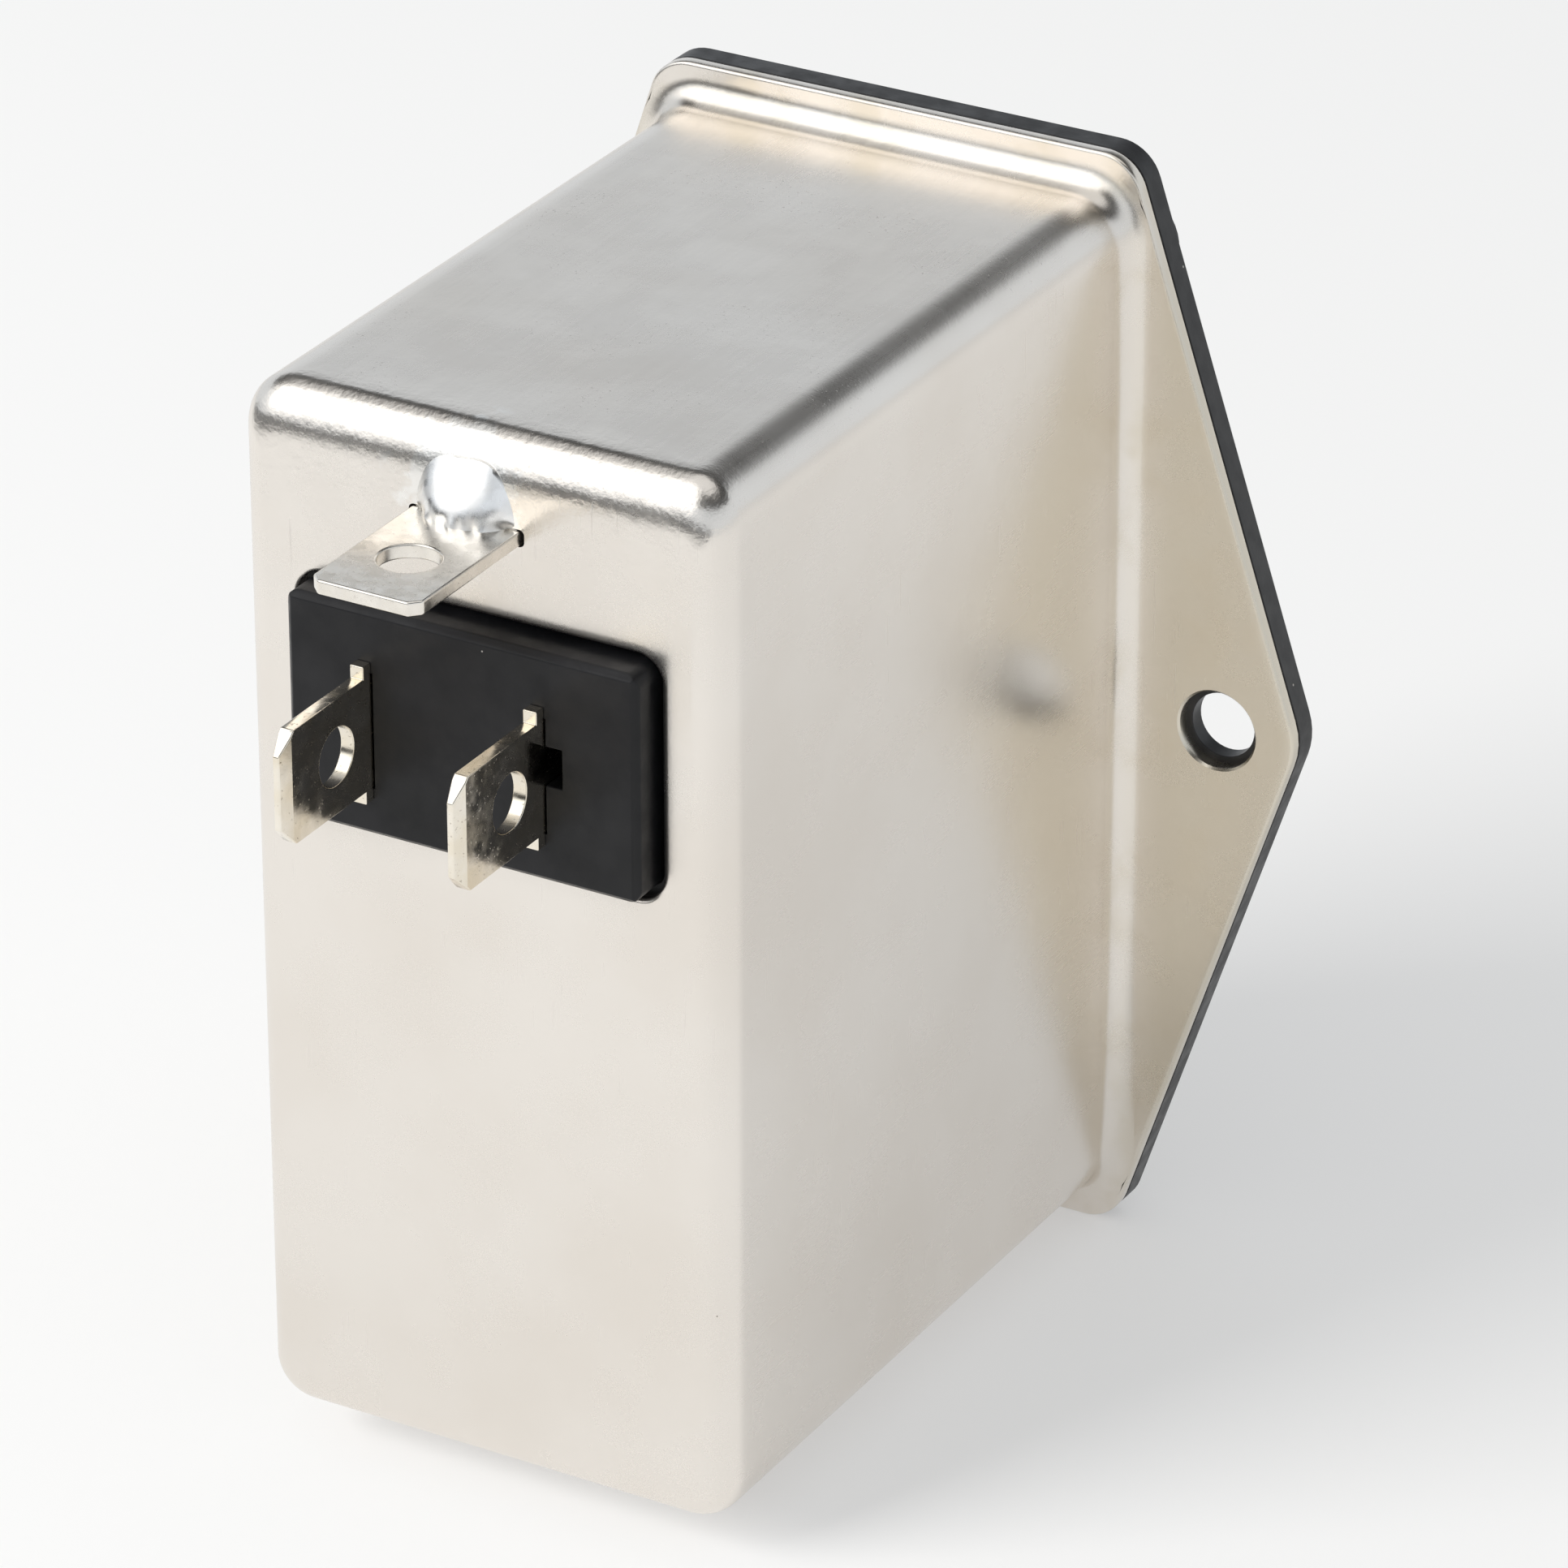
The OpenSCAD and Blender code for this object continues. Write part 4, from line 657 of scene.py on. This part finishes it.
def makeCamera():
    data = bpy.data.cameras.new("camera")
    data.lens = view["lens"]
    data.sensor_width = 36
    data.clip_start = 0.01
    camera = bpy.data.objects.new("camera", data)
    bpy.context.scene.collection.objects.link(camera)
    right = Vector(view["right"]).normalized()
    up = Vector(view["up"])
    up = (up - right * up.dot(right)).normalized()
    back = right.cross(up)
    turned = Matrix((right, up, back)).transposed().to_4x4()
    camera.matrix_world = Matrix.Translation(view["place"]) @ turned
    bpy.context.scene.camera = camera


def staged(name, corners, color, roughness):
    # one flat sheet of the set
    mesh = bpy.data.meshes.new(name)
    mesh.from_pydata(corners, [], [(0, 1, 2, 3)])
    thing = bpy.data.objects.new(name, mesh)
    bpy.context.scene.collection.objects.link(thing)
    material = bpy.data.materials.new(name)
    material.use_nodes = True
    shader = material.node_tree.nodes["Principled BSDF"]
    shader.inputs["Base Color"].default_value = (*color, 1)
    shader.inputs["Roughness"].default_value = roughness
    shader.inputs["Specular IOR Level"].default_value = 0
    mesh.materials.append(material)
    return material.node_tree, shader


def makeSet():
    # a pale floor, and a low dark card beyond it that draws the dark line in the can's back
    low = cadBounds[0][2] - 0.0002
    far = 3.0
    pale = (studio["ground"],) * 3
    sheet = [(-far, -far, low), (far, -far, low), (far, far, low), (-far, far, low)]
    tree, shader = staged("floor", sheet, pale, 0.9)
    rays = addNode(tree, "LightPath", {})
    seen = sumOf(tree, rays.outputs["Is Glossy Ray"], rays.outputs["Is Transmission Ray"], "MAXIMUM")
    seen = sumOf(tree, seen, rays.outputs["Is Camera Ray"], "MAXIMUM")
    share = sumOf(tree, seen, studio["lift"], "MULTIPLY")
    white = addNode(tree, "Emission", {"Color": (1, 1, 1, 1), "Strength": 1.0})
    mixed = addNode(tree, "MixShader", {0: share, 1: shader.outputs[0], 2: white.outputs[0]})
    tree.links.new(mixed.outputs[0], tree.nodes["Material Output"].inputs["Surface"])
    flag = studio["flag"]
    along = np.array([-flag["toward"][1], flag["toward"][0]]) * flag["half"]
    middle = np.array(flag["toward"]) * flag["away"] + np.array([0, can["depth"] * mm])
    a, b = middle - along, middle + along
    top = low + flag["height"]
    staged("card", [(*a, low), (*b, low), (*b, top), (*a, top)], (flag["shade"],) * 3, 0.9)


def makeLight():
    # one large soft box to the left, a pale backdrop and a darker room above it
    world = bpy.data.worlds.new("studio")
    world.use_nodes = True
    bpy.context.scene.world = world
    tree = world.node_tree
    back = tree.nodes["Background"]
    toward = addNode(tree, "TexCoord", {}).outputs["Generated"]
    axes = addNode(tree, "SeparateXYZ", {"Vector": toward})
    height = axes.outputs[2]
    wall = rangeOf(tree, height, *studio["wallEdge"], 0, 1)
    roof = rangeOf(tree, height, *studio["roofEdge"], 0, 1)
    facing = addNode(tree, "VectorMath", {0: toward, 1: Vector(studio["boxFrom"]).normalized()},
                     operation="DOT_PRODUCT").outputs["Value"]
    box = rangeOf(tree, facing, *studio["boxEdge"], 0, 1)
    room = tinted(tree, wall, (studio["dark"],) * 3 + (1,), (*studio["band"], 1))
    room = tinted(tree, roof, room, (studio["above"],) * 3 + (1,))
    room = tinted(tree, box, room, (studio["box"],) * 3 + (1,))
    fill = studio["fill"]
    rays = addNode(tree, "LightPath", {})
    shiny = sumOf(tree, rays.outputs["Is Glossy Ray"], rays.outputs["Is Transmission Ray"], "MAXIMUM")
    seen = tinted(tree, shiny, (fill * 0.98, fill, fill * 1.01, 1), room)
    seen = tinted(tree, rays.outputs["Is Camera Ray"], seen, (1, 1, 1, 1))
    tree.links.new(seen, back.inputs["Color"])
    data = bpy.data.lights.new("softBox", "AREA")
    data.shape = "SQUARE"
    part = studio["lamp"]
    data.size = part["size"]
    data.energy = part["power"]
    data.color = part["color"]
    lamp = bpy.data.objects.new("softBox", data)
    bpy.context.scene.collection.objects.link(lamp)
    lamp.location = Vector(studio["lampFrom"]).normalized() * part["away"]
    lamp.rotation_euler = lamp.location.to_track_quat("Z", "Y").to_euler()
    lamp.visible_glossy = False


print("set")
makeCamera()
makeSet()
makeLight()
bpy.context.scene.view_settings.view_transform = "Standard"
